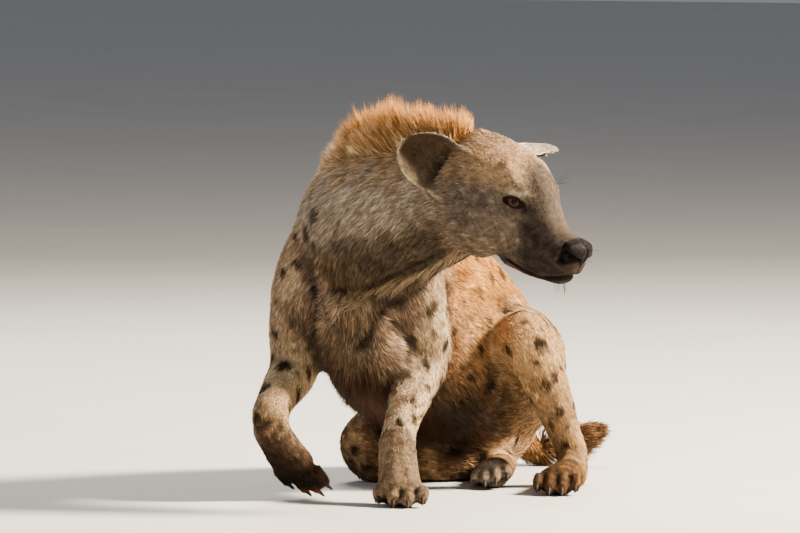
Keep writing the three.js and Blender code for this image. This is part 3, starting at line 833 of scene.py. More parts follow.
class Finish:
    """A material and its one method for making nodes."""

    def __init__(self, name, **constants):
        self.material = bpy.data.materials.new(name)
        self.material.use_nodes = True
        self.tree = self.material.node_tree
        self.shader = next(n for n in self.tree.nodes if n.type == "BSDF_PRINCIPLED")
        for key, value in constants.items():
            self.shader.inputs[key.replace("_", " ").title().replace("Ior", "IOR")].default_value = value

    def feed(self, socket, value):
        if isinstance(value, Value):
            self.tree.links.new(value.socket, socket)
        elif value is not None:
            socket.default_value = value

    def node(self, kind, settings=None, values=None, output=0):
        made = self.tree.nodes.new(kind)
        for key, value in (settings or {}).items():
            if key == "stops":
                while len(made.color_ramp.elements) < len(value):
                    made.color_ramp.elements.new(0.5)
                for element, (place, colour) in zip(made.color_ramp.elements, value):
                    element.position = place
                    element.color = (*colour, 1)
            else:
                setattr(made, key, value)
        for key, value in (values or {}).items():
            self.feed(made.inputs[key], value)
        return Value(self, made.outputs[output])

    def place(self):
        return self.node("ShaderNodeTexCoord", output="Object")

    def noise(self, scale, detail=3.0, at=None):
        return self.node("ShaderNodeTexNoise", None,
                         {"Vector": at or self.place(), "Scale": scale, "Detail": detail}, "Fac")

    def bend(self, value, low, high, to_low=0.0, to_high=1.0):
        return self.node("ShaderNodeMapRange", None, {"Value": value, "From Min": low, "From Max": high,
                                                      "To Min": to_low, "To Max": to_high})

    def blend(self, share, a, b, mode="MIX"):
        made = self.tree.nodes.new("ShaderNodeMix")
        made.data_type = "RGBA"
        made.blend_type = mode
        self.feed(made.inputs[0], share)
        self.feed(made.inputs[6], a if isinstance(a, Value) else (*a, 1))
        self.feed(made.inputs[7], b if isinstance(b, Value) else (*b, 1))
        return Value(self, made.outputs[2])

    def bump(self, height, distance, strength=1.0):
        return self.node("ShaderNodeBump", None,
                         {"Height": height, "Distance": distance, "Strength": strength}, "Normal")

    def stored(self, name, output):
        """What each vertex keeps under a name."""
        return self.node("ShaderNodeAttribute", {"attribute_name": name}, None, output)

    def surface(self, colour=None, roughness=None, normal=None):
        for name, value in (("Base Color", colour), ("Roughness", roughness), ("Normal", normal)):
            if value is not None:
                self.feed(self.shader.inputs[name], value)
        return self.material


def skin_finish():
    """Short undercoat: the painted markings, broken by fine hair-like streaks."""
    f = Finish("undercoat", specular_ior_level=0.05)
    tint = f.stored("tint", "Color")
    hair = f.noise(900.0, 4.0)
    patch = f.noise(160.0, 3.0)
    dark = f.blend(f.bend(hair, 0.35, 0.65, 0.0, 0.55), tint, (0.02, 0.014, 0.01))
    colour = f.blend(f.bend(patch, 0.3, 0.7, 0.0, 0.25), dark, (0.25, 0.2, 0.14), "MULTIPLY")
    return f.surface(colour, f.bend(hair, 0.3, 0.7, 0.7, 0.9), f.bump(hair, 0.0012, 0.6))


def coat_finish():
    """Hair locks: the painted markings, with painted shade at the root and along the sides of each lock,
    broken by fine noise.
    """
    f = Finish("coat_hair", specular_ior_level=0.1)
    tint = f.stored("tint", "Color")
    hair = f.noise(1300.0, 2.0)
    colour = f.blend(f.bend(hair, 0.3, 0.7, 0.0, 0.35), tint, (0.35, 0.3, 0.26), "MULTIPLY")
    return f.surface(colour, f.bend(hair, 0.3, 0.7, 0.5, 0.72))


def nose_finish():
    """Moist black nose leather with fine pebbles, and painted shade deep in the nostrils."""
    f = Finish("nose_leather", coat_weight=0.01, coat_roughness=0.3, specular_ior_level=0.03)
    at = f.place()
    pebble = f.node("ShaderNodeTexVoronoi", {"feature": "DISTANCE_TO_EDGE"},
                    {"Vector": at, "Scale": 620.0})
    cloud = f.noise(140.0, 3.0, at)
    colour = f.blend(f.bend(cloud, 0.35, 0.7), (0.004, 0.0033, 0.0033), (0.010, 0.0078, 0.0075))
    height = f.bend(pebble, 0.0, 0.12) + cloud * 0.4
    # Painted shade inside the nostrils, by the mark that the nose step keeps
    inside = f.stored("ring", "Fac")
    colour = f.blend(inside, colour, (0.002, 0.0015, 0.0015))
    return f.surface(colour, f.bend(cloud, 0.3, 0.7, 0.5, 0.7), f.bump(height, 0.0002, 0.35))


def eye_finish(iris):
    """Red-brown iris with a black pupil under a clear wet surface."""
    f = Finish("eye_gloss", coat_weight=0.14, coat_roughness=0.02, specular_ior_level=0.05)
    around = f.stored("ring", "Fac")
    streak = f.noise(1500.0, 2.0)
    ring = around + (streak - 0.5) * 0.05
    colour = f.node("ShaderNodeValToRGB", {"stops": (
        (0.0, (0.002, 0.0015, 0.0015)), (0.22, (0.003, 0.002, 0.002)), (0.27, (0.028, 0.009, 0.005)),
        (0.42, iris), (0.55, (0.03, 0.010, 0.006)), (0.63, (0.010, 0.006, 0.005)),
        (0.85, (0.03, 0.02, 0.017)))}, {"Fac": ring}, "Color")
    return f.surface(colour, f.bend(streak, 0.3, 0.7, 0.12, 0.2))


def claw_finish():
    """Dark horn with cloudy changes of tone, and fine lines in its bump."""
    f = Finish("claw_horn", specular_ior_level=0.12)
    at = f.place()
    cloud = f.noise(260.0, 4.0, at)
    line = f.noise(900.0, 2.0, at)
    colour = f.blend(f.bend(cloud, 0.35, 0.68), (0.010, 0.008, 0.006), (0.032, 0.024, 0.018))
    return f.surface(colour, f.bend(line, 0.3, 0.7, 0.5, 0.75), f.bump(line, 0.0003, 0.6))


def floor_finish():
    f = Finish("pale_floor", roughness=0.85)
    cloud = f.noise(3.0, 2.0)
    return f.surface(f.blend(cloud, (0.50, 0.49, 0.47), (0.56, 0.55, 0.53)))


# Skin

SKIN_VOXEL = 0.0026
SKIN_TRIANGLES = 185000
# The skin takes this share of the coat's colours: painted shade beneath the hair
SKIN_TONE = 0.65
THIN_LEVELS = 10
NOSE_INSET = 13

# Lowest places of skin and of hair and claws over the floor, in metres
SKIN_FLOOR = 0.0004
HAIR_FLOOR = 0.0002

# Height of the lids over the eyeball by the distance outside their opening
LID_REACH = 34
LID_SPREAD = 13
LID_STATIONS = (-3, -0.6, 0, 1.5, 4.5, 6.5, 9, 13)
LID_HEIGHTS = (-6, -4.5, 1.0, 1.9, 2.2, 1.2, 3.0, 6.0)


def shape_body(co, shares):
    """Muscles, bones and folds of the body, as distances along the normals in millimetres."""
    p = body_mm(co)
    move = np.zeros(len(p))
    off_head = 1 - ramp(share_of(shares, "head", *EARS), 0.3, 0.6)
    for place, reach, amount in BODY_FORMS:
        move += 1.3 * amount * np.exp(-np.sum(((p - place) / reach) ** 2, axis=1)) * off_head
    for line, reach, amount in FOLDS:
        d, along = line_distance(p, line)
        fading = np.sin(np.pi * np.clip(along, 0.03, 0.97)) ** 0.5
        move += 2 * amount * np.exp(-(d / (1.2 * reach)) ** 2) * fading
    neck = share_of(shares, "neck")
    ripple = waves(p * (1, 1, 0.6), 46, 5)
    move += neck * ripple * 1.6 + share_of(shares, "trunk", "brisket") * waves(p, 80, 6) * 1.8
    return move


def shape_head(co, shares):
    """Brows, cheeks, lips and the line of the mouth, as distances along the normals in millimetres."""
    h = head_mm(co)
    on_head = ramp(share_of(shares, "head"), 0.3, 0.6)
    move = np.zeros(len(h))
    for place, reach, amount in HEAD_FORMS:
        both = np.stack([h[:, 0], np.abs(h[:, 1]) if place[1] else h[:, 1], h[:, 2]], axis=1)
        move += amount * np.exp(-np.sum(((both - place) / reach) ** 2, axis=1))
    gap = mouth_height(h)
    reach = ramp(h[:, 0], 144, 158)
    move += reach * (-5.0 * np.exp(-(gap / 1.9) ** 2) + 1.6 * np.exp(-((gap - 6) / 4.5) ** 2)
                     + 1.2 * np.exp(-((gap + 6) / 4) ** 2))
    move -= 2.0 * np.exp(-(h[:, 1] / 1.6) ** 2) * ramp(h[:, 0], 236, 246) * ramp(gap, -1, 2)
    return (move - NOSE_INSET * nose_share(h)) * on_head


def shape_eyes(co):
    """Draws the skin round each eye into lids that lie on the eyeball."""
    h = head_mm(co)
    for side in SIDES:
        local = eye_local(h, side)
        far = np.linalg.norm(local, axis=1)
        edge = lid_distance(local)
        near = (local[:, 2] > 0.5) & (far < LID_REACH) & (edge < LID_SPREAD)
        r, e = far[near], edge[near]
        lid = EYE_RADIUS + np.interp(e, LID_STATIONS, LID_HEIGHTS)
        hold = np.interp(e, (-3, 5, LID_SPREAD), (1, 1, 0)) * ramp(local[near, 2], 0.5, 5)
        lid = np.where(e > 5, np.minimum(lid, np.maximum(r, EYE_RADIUS + 1)), lid)
        scaled = r + (lid - r) * hold
        h[near] += (h[near] - mirrored(EYE_PLACE, side)) * (scaled / r - 1)[:, None]
    return head_place(h)


def subdivide_near(piece, places, reach):
    """Cuts the faces near some places into four."""
    co, _ = read_points(piece)
    near = np.zeros(len(co), bool)
    for place in places:
        near |= np.linalg.norm(co - place, axis=1) < reach
    faces = piece.data.polygons
    starts = np.empty(len(faces), np.int32)
    faces.foreach_get("loop_start", starts)
    corner = np.empty(len(piece.data.loops), np.int32)
    piece.data.loops.foreach_get("vertex_index", corner)
    keep = np.logical_and.reduceat(near[corner], starts)
    take(piece)
    bpy.ops.object.mode_set(mode="EDIT")
    bpy.ops.mesh.select_mode(type="FACE")
    bpy.ops.mesh.select_all(action="DESELECT")
    bpy.ops.object.mode_set(mode="OBJECT")
    faces.foreach_set("select", keep)
    bpy.ops.object.mode_set(mode="EDIT")
    bpy.ops.mesh.subdivide(number_cuts=1)
    bpy.ops.object.mode_set(mode="OBJECT")


class HYENA_OT_skin(bpy.types.Operator):
    """Joins the flesh into one skin under the coat, with muscles, folds, lids and lips."""
    bl_idname = "hyena.skin"
    bl_label = "Skin"

    def execute(self, context):
        for name in USER_COLOURS:
            COLOURS[name] = np.array(getattr(context.scene.hyena, name))
        skin = join_copies("skin", FLESH + ("eye_right", "eye_left", "nose"), 0.8)
        voxel = context.scene.hyena.skin_detail * 1
        remesh(skin, voxel)
        self.form(skin, voxel)
        eyes = [head_place(mirrored(EYE_PLACE, side)) for side in SIDES]
        for reach in (0.032, 0.026):
            subdivide_near(skin, eyes, reach)
        write_points(skin, shape_eyes(read_points(skin)[0]))
        self.thin(skin)
        smooth(skin)
        co, normals = read_points(skin)
        shares, _ = coat_fields(co, normals)
        hollow = hollows(co, normals, edges_of(skin))
        STORE.update(places=co, facing=normals, triangles=triangles_of(skin), hollow=hollow,
                     spots=hidden_spots(co, normals, shares))
        paint(skin, markings(co, normals, shares, hollow) * SKIN_TONE)
        skin.data.materials.append(skin_finish())
        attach(skin, "root")
        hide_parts(*FLESH)
        return {"FINISHED"}

    def form(self, skin, voxel):
        """Smooths the joined flesh, then shapes it and sets it back by the depth of the coat."""
        co, normals = read_points(skin)
        shares, _ = coat_fields(co, normals)
        head, ears = share_of(shares, "head"), share_of(shares, *EARS)
        paws, limbs = share_of(shares, *PAW_FAMILIES), share_of(shares, *LIMB_FAMILIES)
        softness = np.clip(0.62 - 0.45 * ramp(head, 0.2, 0.7) - 0.6 * ramp(ears, 0.2, 0.6)
                           - 0.56 * ramp(paws, 0.3, 0.7) - 0.2 * limbs, 0.02, 0.6)
        rounds = int(110 * (SKIN_VOXEL / voxel) ** 2) + 6
        write_points(skin, relax(co, edges_of(skin), softness, rounds))
        co, normals = read_points(skin)
        sole = ramp(normals[:, 2], -0.4, -0.85) * ramp(co[:, 2], 0.012, 0.004)
        depth = family_value(shares, 2) * (1 - 0.85 * sole)
        move = shape_body(co, shares) + shape_head(co, shares) - depth
        co = co + normals * move[:, None] * MM
        co[:, 2] = np.maximum(co[:, 2], SKIN_FLOOR)
        write_points(skin, co)

    def thin(self, skin):
        """Keeps the fine faces of head and paws and thins those of the body."""
        co, normals = read_points(skin)
        shares, _ = coat_fields(co, normals)
        body = 1 - ramp(share_of(shares, "head", *EARS, *PAW_FAMILIES), 0.15, 0.5)
        group = skin.vertex_groups.new(name="body")
        for level in range(THIN_LEVELS + 1):
            chosen = np.flatnonzero(np.round(body * THIN_LEVELS) == level)
            group.add(chosen.tolist(), level / THIN_LEVELS, "REPLACE")
        now = len(triangles_of(skin))
        if now > SKIN_TRIANGLES:
            apply_modifier(skin, "DECIMATE", decimate_type="COLLAPSE", ratio=SKIN_TRIANGLES / now,
                           vertex_group="body", vertex_group_factor=1.0)
        skin.vertex_groups.clear()


# Coat

TUFTS = 48500
MANE_TUFTS = 19500
THROAT_TUFTS = 700
TAIL_TUFTS = 3200

WIDEN = 1

# The coat's pieces: families, number of tufts and sections of each tuft
PIECES = {
    "coat_head": (("head", "ear_right", "ear_left"), TUFTS, 1),
    "coat_neck": (("neck",), TUFTS, 1),
    "coat_chest": (("trunk", "brisket"), TUFTS, 1),
    "coat_flank": (("trunk", "brisket"), TUFTS, 1),
    "coat_forelegs": (("arm_left", "arm_right", "forepaw_left", "forepaw_right"), TUFTS, 1),
    "coat_hindlegs": (("leg_left", "leg_right", "hindpaw_left", "hindpaw_right"), TUFTS, 1),
    "coat_tail": (("tail",), 6000, 2),
}
CHEST_END = 330

# Each tuft: width of its sections, how deep its root sits and how far it reaches on the unwrap
PROFILES = {1: (1.0,), 2: (0.8, 0.9), 3: (0.7, 1.0, 0.7)}
ROOT_DEPTH = 0.0006
PATCH = 0.0015


def tuft_count(full):
    return int(full * (1))


def piece_of_faces(middles, shares):
    """Which coat piece each face of the skin belongs to."""
    names = list(PIECES)
    sums = np.stack([share_of(shares, *PIECES[name][0]) for name in names], axis=1)
    chest, flank = names.index("coat_chest"), names.index("coat_flank")
    behind = body_mm(middles)[:, 1] > CHEST_END
    sums[behind, chest] = -1
    sums[~behind, flank] = -1
    return np.argmax(sums, axis=1)


def unwrap(vertices, triangles):
    """Corner places on a flat unwrap of some faces, which fills the unit square."""
    used, local = np.unique(triangles, return_inverse=True)
    patch = mesh_from("unwrap", vertices[used], local.reshape(-1, 3))
    patch.data.uv_layers.new(name="flat")
    take(patch)
    bpy.ops.object.mode_set(mode="EDIT")
    bpy.ops.mesh.select_all(action="SELECT")
    bpy.ops.uv.smart_project(angle_limit=math.radians(75), island_margin=0.002, scale_to_bounds=True)
    bpy.ops.object.mode_set(mode="OBJECT")
    flat = np.empty(len(patch.data.loops) * 2, np.float32)
    patch.data.uv_layers["flat"].data.foreach_get("uv", flat)
    mesh = patch.data
    bpy.data.objects.remove(patch)
    bpy.data.meshes.remove(mesh)
    return flat.reshape(-1, 3, 2).astype(float)


def scatter(rng, vertices, normals, triangles, density, count, hollow=None):
    """Roots spread over faces by density: their places, normals, unwrapped places and depths in hollows."""
    flat = unwrap(vertices, triangles)
    corners = vertices[triangles]
    edges = corners[:, 1] - corners[:, 0], corners[:, 2] - corners[:, 0]
    area = np.linalg.norm(np.cross(*edges), axis=1) / 2
    total = np.cumsum(area * density)
    pick = np.searchsorted(total, (np.arange(count) + rng.random(count)) / count * total[-1])
    pick = np.minimum(pick, len(triangles) - 1)
    a, b = rng.random((2, count))
    over = a + b > 1
    a[over], b[over] = 1 - a[over], 1 - b[over]
    share = np.stack([1 - a - b, a, b], axis=1)[:, :, None]
    below = None if hollow is None else (hollow[triangles[pick]] * share[:, :, 0]).sum(1)
    return ((corners[pick] * share).sum(1), unit((normals[triangles[pick]] * share).sum(1)),
            (flat[pick] * share).sum(1), below)


def scatter_skin(rng, chosen, density, count):
    """Roots spread over some faces of the skin."""
    return scatter(rng, STORE["places"], STORE["facing"], STORE["triangles"][chosen], density, count,
                   STORE["hollow"])


def part_locks(rng, roots, size):
    """The leading hair of the lock that each hair belongs to."""
    seeds = rng.choice(len(roots), max(int(len(roots) / size), 1), replace=False)
    tree = tree_of(roots[seeds])
    return seeds[np.array([tree.find(root)[1] for root in roots])]


def grow_tufts(name, roots, normals, lie, length, width, lift, sections, tint, tip_tint, flat,
               droop=0.0, lead=None, gather=0.0, bend=0.35):
    """One joined mesh of thin closed tufts, each with three sides and a point.

    Length and width are in millimetres. Droop bends the tips down, bend flattens them against the
    skin, and gather draws them to the tip of the hair that leads their lock.
    """
    n = len(roots)
    side = np.cross(lie, normals)
    rise, run = np.sin(lift)[:, None], np.cos(lift)[:, None]
    long = length[:, None] * MM
    down = np.zeros((n, 3))
    down[:, 2] = -np.asarray(droop)
    start = roots - normals * ROOT_DEPTH

    def along(t):
        return start + long * (lie * run * t + normals * (rise * t - bend * rise * t * t) + down * t * t)

    tips = along(1.0)
    pull = (tips[lead] - tips) * gather if lead is not None else np.zeros((n, 3))
    half = width[:, None] * 0.5 * MM
    corners = 3 * sections + 1
    points = np.empty((n, corners, 3))
    places = np.empty((n, corners, 2))
    shade = np.empty((n, corners, 3))
    for j in range(sections):
        t = j / sections
        centre = along(t) + pull * t * t
        w = half * PROFILES[sections][j]
        points[:, 3 * j] = centre - side * w
        points[:, 3 * j + 1] = centre + side * w
        points[:, 3 * j + 2] = centre + normals * w * 0.8
        for k, across in enumerate((-1, 1, 0)):
            places[:, 3 * j + k] = flat + (PATCH * across * (1 - 0.5 * t), PATCH * (2 * t - 1))
            # Painted shade: each tuft darker at its root and along its two side edges than on its top,
            # passing to the tip's own colour
            edge = 0.12 if across else 0
            shade[:, 3 * j + k] = tint * (0.6 - edge + 0.45 * t) + (tip_tint - tint) * t * t
    points[:, -1] = tips + pull
    places[:, -1] = flat + (0, PATCH)
    shade[:, -1] = tip_tint
    points[:, :, 2] = np.maximum(points[:, :, 2], HAIR_FLOOR)
    faces = [(0, 1, 2)]
    for j in range(sections - 1):
        for a, b in ((0, 1), (1, 2), (2, 0)):
            a0, b0, a1, b1 = 3 * j + a, 3 * j + b, 3 * j + 3 + a, 3 * j + 3 + b
            faces += [(a0, a1, b1), (a0, b1, b0)]
    last = 3 * sections - 3
    faces += [(last + a, 3 * sections, last + b) for a, b in ((0, 1), (1, 2), (2, 0))]
    triangles = (np.array(faces)[None] + (np.arange(n) * corners)[:, None, None]).reshape(-1, 3)
    piece = mesh_from(name, points.reshape(-1, 3), triangles)
    smooth(piece)
    layer = piece.data.uv_layers.new(name="OFBake")
    places = np.clip(places.reshape(-1, 2), 0.0005, 0.9995)
    layer.data.foreach_set("uv", places[triangles.ravel()].astype(np.float32).ravel())
    paint(piece, shade.reshape(-1, 3))
    piece.data.materials.append(STORE["coat_material"])
    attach(piece, "root")
    return piece


def bare_share(roots, normals):
    """0 where nothing grows, 1 where the coat is whole."""
    h = head_mm(roots)
    keep = 1 - nose_share(h)
    for side in SIDES:
        local = eye_local(h, side)
        near = (np.linalg.norm(local, axis=1) < 24) & (local[:, 2] > 0)
        keep = np.where(near, keep * ramp(lid_distance(local), 0.8, 3.0), keep)
    inside = ramp(np.abs(mouth_height(h)), 1.2, 3.5)
    keep *= np.where(h[:, 0] > 150, inside, 1)
    keep *= 1 - 0.9 * ramp(normals[:, 2], -0.5, -0.85) * ramp(roots[:, 2], 0.012, 0.004)
    return keep


def coat_values(rng, roots, normals, shares):
    """Length, width and lift of the hair at each root, with its natural changes."""
    p, h = body_mm(roots), head_mm(roots)
    length = family_value(shares, 0)
    width = family_value(shares, 1)
    lift = family_value(shares, 3)
    head = ramp(share_of(shares, "head"), 0.4, 0.8)
    face = head * ramp(h[:, 0], 60, 150)
    length = length * (1 - 0.35 * face) * (1 - 0.3 * head * ramp(h[:, 0], 160, 220))
    ruff = head * ramp(h[:, 0], 70, 10) * ramp(h[:, 2], 30, -30)
    length *= 1 + 1.2 * ruff
    crown = head * ramp(h[:, 0], 80, 20) * ramp(h[:, 2], 40, 80)
    length *= 1 + 0.8 * crown
    fringe = ramp(line_distance(p, THROAT_RIDGE)[0], 13, 5) * (1 - head)
    creases = [line for line, _, amount in FOLDS if amount < 0]
    crease = np.max([ramp(line_distance(p, line)[0], 14, 6) for line in creases], axis=0)
    length *= (1 + 0.6 * fringe) * (1 - 0.5 * crease * (1 - fringe))
    off, _, wide = crest_distance(p)
    beside = share_of(shares, "neck", "trunk") * ramp(off / wide, 2.6, 1.3) * ramp(p[:, 2], 380, 440)
    length *= 1 + 0.7 * beside
    ears = share_of(shares, *EARS)
    from_root = np.minimum(*(np.abs(ear_place(h, name)[0]) for name in EARS))
    length *= 1 + 0.9 * ears * ramp(from_root, 45, 15)
    trunk = share_of(shares, "trunk", "brisket")
    under = trunk * ramp(normals[:, 2], 0.1, -0.5)
    length *= 1 + 0.9 * share_of(shares, "brisket") * ramp(p[:, 2], 225, 185)
    length *= 1 + 0.5 * under
    width *= 1 + 0.25 * under
    lift *= 1 + under
    length *= rng.uniform(0.75, 1.2, len(p))
    width *= rng.uniform(0.7, 1.3, len(p))
    lift = np.radians(lift * rng.uniform(0.5, 1.6, len(p)))
    return length, width, lift


def hair_tints(rng, colour, shares):
    """Colours of the tufts and of their tips: each a little different, some dark among pale ones."""
    n = len(colour)
    tone = np.exp(rng.normal(0, 0.3, n))
    grizzled = share_of(shares, "head", "neck", "trunk")
    tone *= np.where(rng.random(n) < 0.25 * grizzled, 0.45, 1)
    tone *= np.where(rng.random(n) < 0.3 * share_of(shares, "head"), rng.choice((0.35, 1.7), n), 1)
    tint = colour * tone[:, None]
    tip = tint * (1.15 + rng.uniform(0, 0.16, n))[:, None]
    return tint, tip


class HYENA_OT_coat(bpy.types.Operator):
    """Grows the tufts of the whole coat over the skin, piece by piece."""
    bl_idname = "hyena.coat"
    bl_label = "Coat"

    def execute(self, context):
        STORE["coat_material"] = coat_finish()
        co, normals, triangles = STORE["places"], STORE["facing"], STORE["triangles"]
        shares, _ = coat_fields(co, normals)
        middles = co[triangles].mean(axis=1)
        face_shares = shares[triangles].mean(axis=1)
        owner = piece_of_faces(middles, face_shares)
        density = 1 / (family_value(face_shares, 0) * family_value(face_shares, 1)) ** 0.75
        density *= bare_share(middles, unit(normals[triangles].mean(axis=1)))
        density *= 1 + 1.3 * share_of(face_shares, "head") * ramp(head_mm(middles)[:, 0], 90, 160)
        for index, (name, (_, full, sections)) in enumerate(PIECES.items()):
            rng = np.random.default_rng(100 + index)
            chosen = owner == index
            count = tuft_count(full * context.scene.hyena.fullness)
            self.grow(name, rng, sections, *scatter_skin(rng, chosen, density[chosen], count))
        return {"FINISHED"}

    def grow(self, name, rng, sections, roots, facing, place, hollow):
        """One piece of the coat from its roots."""
        shares, lie = coat_fields(roots, facing)
        p = body_mm(roots)
        length, width, lift = coat_values(rng, roots, facing, shares)
        long_hair = ramp(length, 8, 30)
        swirl = np.stack([waves(p, 34, 41 + k) for k in range(3)], axis=1)
        lie = lie + swirl * (0.1 + 0.22 * long_hair)[:, None] + rng.normal(0, 0.09, (len(p), 3))
        colour = markings(roots, facing, shares, hollow)
        tint, tip = hair_tints(rng, colour, shares)
        lead = part_locks(rng, roots, 6)
        tone = np.exp(rng.normal(0, 0.26, len(p)) * (1 + 0.5 * long_hair))[lead][:, None]
        rise = rng.uniform(0.55, 1.75, len(p))[lead]
        piece = grow_tufts(name, roots, facing, laid(lie, facing), length, width * WIDEN, lift * rise,
                           sections, tint * tone, tip * tone, place, droop=0.18 * long_hair, lead=lead,
                           gather=(0.2 + 0.3 * long_hair)[:, None])


class HYENA_OT_mane(bpy.types.Operator):
    """Stands the long hair of nape and withers on the skin."""
    bl_idname = "hyena.mane"
    bl_label = "Mane"

    def execute(self, context):
        settings = context.scene.hyena
        rng = np.random.default_rng(7)
        triangles = STORE["triangles"]
        facing = unit(STORE["facing"][triangles].mean(axis=1))
        tall, off = self.height(STORE["places"][triangles].mean(axis=1))
        chosen = (off < 1.5) & (facing[:, 2] > 0.15) & (tall > 6) & (tall < 130)
        density = np.clip(1.5 - off[chosen], 0.05, 1)
        count = tuft_count(MANE_TUFTS * settings.fullness)
        roots, facing, place, hollow = scatter_skin(rng, chosen, density, count)
        shares, back = coat_fields(roots, facing)
        tall, off = self.height(roots)
        p = body_mm(roots)
        length = np.clip(tall, 10, 78) * ramp(off, 1.75, 0.35) * rng.uniform(0.55, 1.15, count) + 6
        length *= (1 + 0.1 * waves(p, 30, 51)) * settings.mane_height
        lean = 0.35 + 0.9 * off
        sway = np.stack([waves(p, 26, 61 + k) for k in range(3)], axis=1) * 0.28
        up = unit(facing * (1 - 0.4 * off)[:, None] + (0, 0, 0.9) + back * lean[:, None] + sway
                  + rng.normal(0, 0.1, (count, 3)))
        side = unit(np.cross(up, facing) + rng.normal(0, 0.3, (count, 3)))
        front = unit(np.cross(side, up))
        width = rng.uniform(0.9, 1.7, count) * WIDEN
        colour = markings(roots, facing, shares, hollow)
        lead = part_locks(rng, roots, 8)
        tone = np.exp(rng.normal(0, 0.2, count) + rng.normal(0, 0.25, count)[lead])[:, None]
        middle = ramp(off + 0.2 * waves(p, 24, 52), 1.5, 0.6)
        tint = mix(colour, COLOURS["rust"], 0.85 * middle) * tone * 1.45
        tip = mix(colour * 1.15, COLOURS["gold"], 0.85 * middle) * tone
        piece = grow_tufts("coat_mane", roots, front, up, length, width, np.full(count, 0.06), 2, tint,
                           tip, place, droop=0.05, lead=lead, gather=0.45, bend=0.0)
        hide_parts("mane")
        return {"FINISHED"}

    def height(self, co):
        """How far the tips stand above each place, and its distance from the crest in half widths."""
        p = body_mm(co)
        off, top, wide = crest_distance(p)
        return top - p[:, 2], off / wide


class HYENA_OT_throat(bpy.types.Operator):
    """Hangs long straw-coloured wisps from the fold of the throat."""
    bl_idname = "hyena.throat"
    bl_label = "Throat Wisps"

    def execute(self, context):
        rng = np.random.default_rng(11)
        middles = STORE["places"][STORE["triangles"]].mean(axis=1)
        far, _ = line_distance(body_mm(middles), THROAT_FOLD)
        chosen = far < 15
        count = tuft_count(THROAT_TUFTS)
        roots, facing, place, _ = scatter_skin(rng, chosen, 1 - far[chosen] / 16, count)
        _, along = line_distance(body_mm(roots), THROAT_FOLD)
        lie = on_line(headings(THROAT_FOLD), along) + rng.normal(0, 0.16, (count, 3)) - (0, 0, 0.3)
        length = rng.uniform(22, 58, count) * (1 - 0.5 * ramp(along, 0.7, 1))
        length = length * (0.5 + 0.5 * ramp(along, 0, 0.3))
        tone = np.exp(rng.normal(-0.3, 0.4, count))[:, None]
        tint = np.tile(COLOURS["golden"] * 0.55, (count, 1)) * tone
        tip = np.tile(COLOURS["pale"] * 0.62, (count, 1)) * tone
        width = rng.uniform(0.6, 1.0, count)
        lift = np.radians(rng.uniform(10, 26, count))
        piece = grow_tufts("coat_throat", roots, facing, laid(lie, facing), length, width, lift, 2,
                           tint, tip, place, droop=0.15, lead=part_locks(rng, roots, 12), gather=0.6)
        return {"FINISHED"}


# The middle line of the tail's tuft
TUFT_PATH = ((-124, 812, 30), (-100, 830, 36), (-72, 834, 46), (-48, 832, 56), (-36, 831, 60))


class HYENA_OT_tail_tuft(bpy.types.Operator):
    """Grows the long dark hair at the tip of the tail from a slim core."""
    bl_idname = "hyena.tail_tuft"
    bl_label = "Tail Tuft"

    def execute(self, context):
        rng = np.random.default_rng(9)
        core = join_copies("tail_tip", ("tail_tuft",), 0.0)
        remesh(core, 0.003)
        co, _ = read_points(core)
        co = relax(co, edges_of(core), np.full(len(co), 0.5), 20)
        _, along = line_distance(body_mm(co), TUFT_PATH)
        middle = body_place(on_line(TUFT_PATH, along))
        write_points(core, middle + (co - middle) * 0.45)
        co, normals = read_points(core)
        triangles = triangles_of(core)
        paint(core, np.tile(COLOURS["tuft"] * 0.6, (len(co), 1)))
        core.data.materials.append(bpy.data.materials["undercoat"])
        smooth(core)
        count = tuft_count(TAIL_TUFTS)
        roots, facing, place, _ = scatter(rng, co, normals, triangles, np.ones(len(triangles)), count)
        whole_way = unit(np.subtract(TUFT_PATH[-1], TUFT_PATH[0], dtype=float))
        _, along = line_distance(body_mm(roots), TUFT_PATH)
        lie = on_line(headings(TUFT_PATH), along) + rng.normal(0, 0.24, (count, 3))
        lie = lie + whole_way * 0.3 + facing * 0.2
        length = 62 * (1 - 0.45 * along) * rng.uniform(0.6, 1.1, count)
        tone = np.exp(rng.normal(0, 0.22, count))[:, None]
        tint = np.tile(COLOURS["tuft"], (count, 1)) * tone
        tip = mix(tint, COLOURS["shade"], np.full(count, 0.6))
        width = rng.uniform(1.4, 2.6, count)
        lift = np.radians(rng.uniform(8, 30, count))
        piece = grow_tufts("coat_tail_tuft", roots, facing, laid(lie, facing), length, width, lift, 3,
                           tint, tip, place, droop=0.12, lead=part_locks(rng, roots, 9), gather=0.4)
        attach(core, "root")
        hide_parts("tail_tuft")
        return {"FINISHED"}


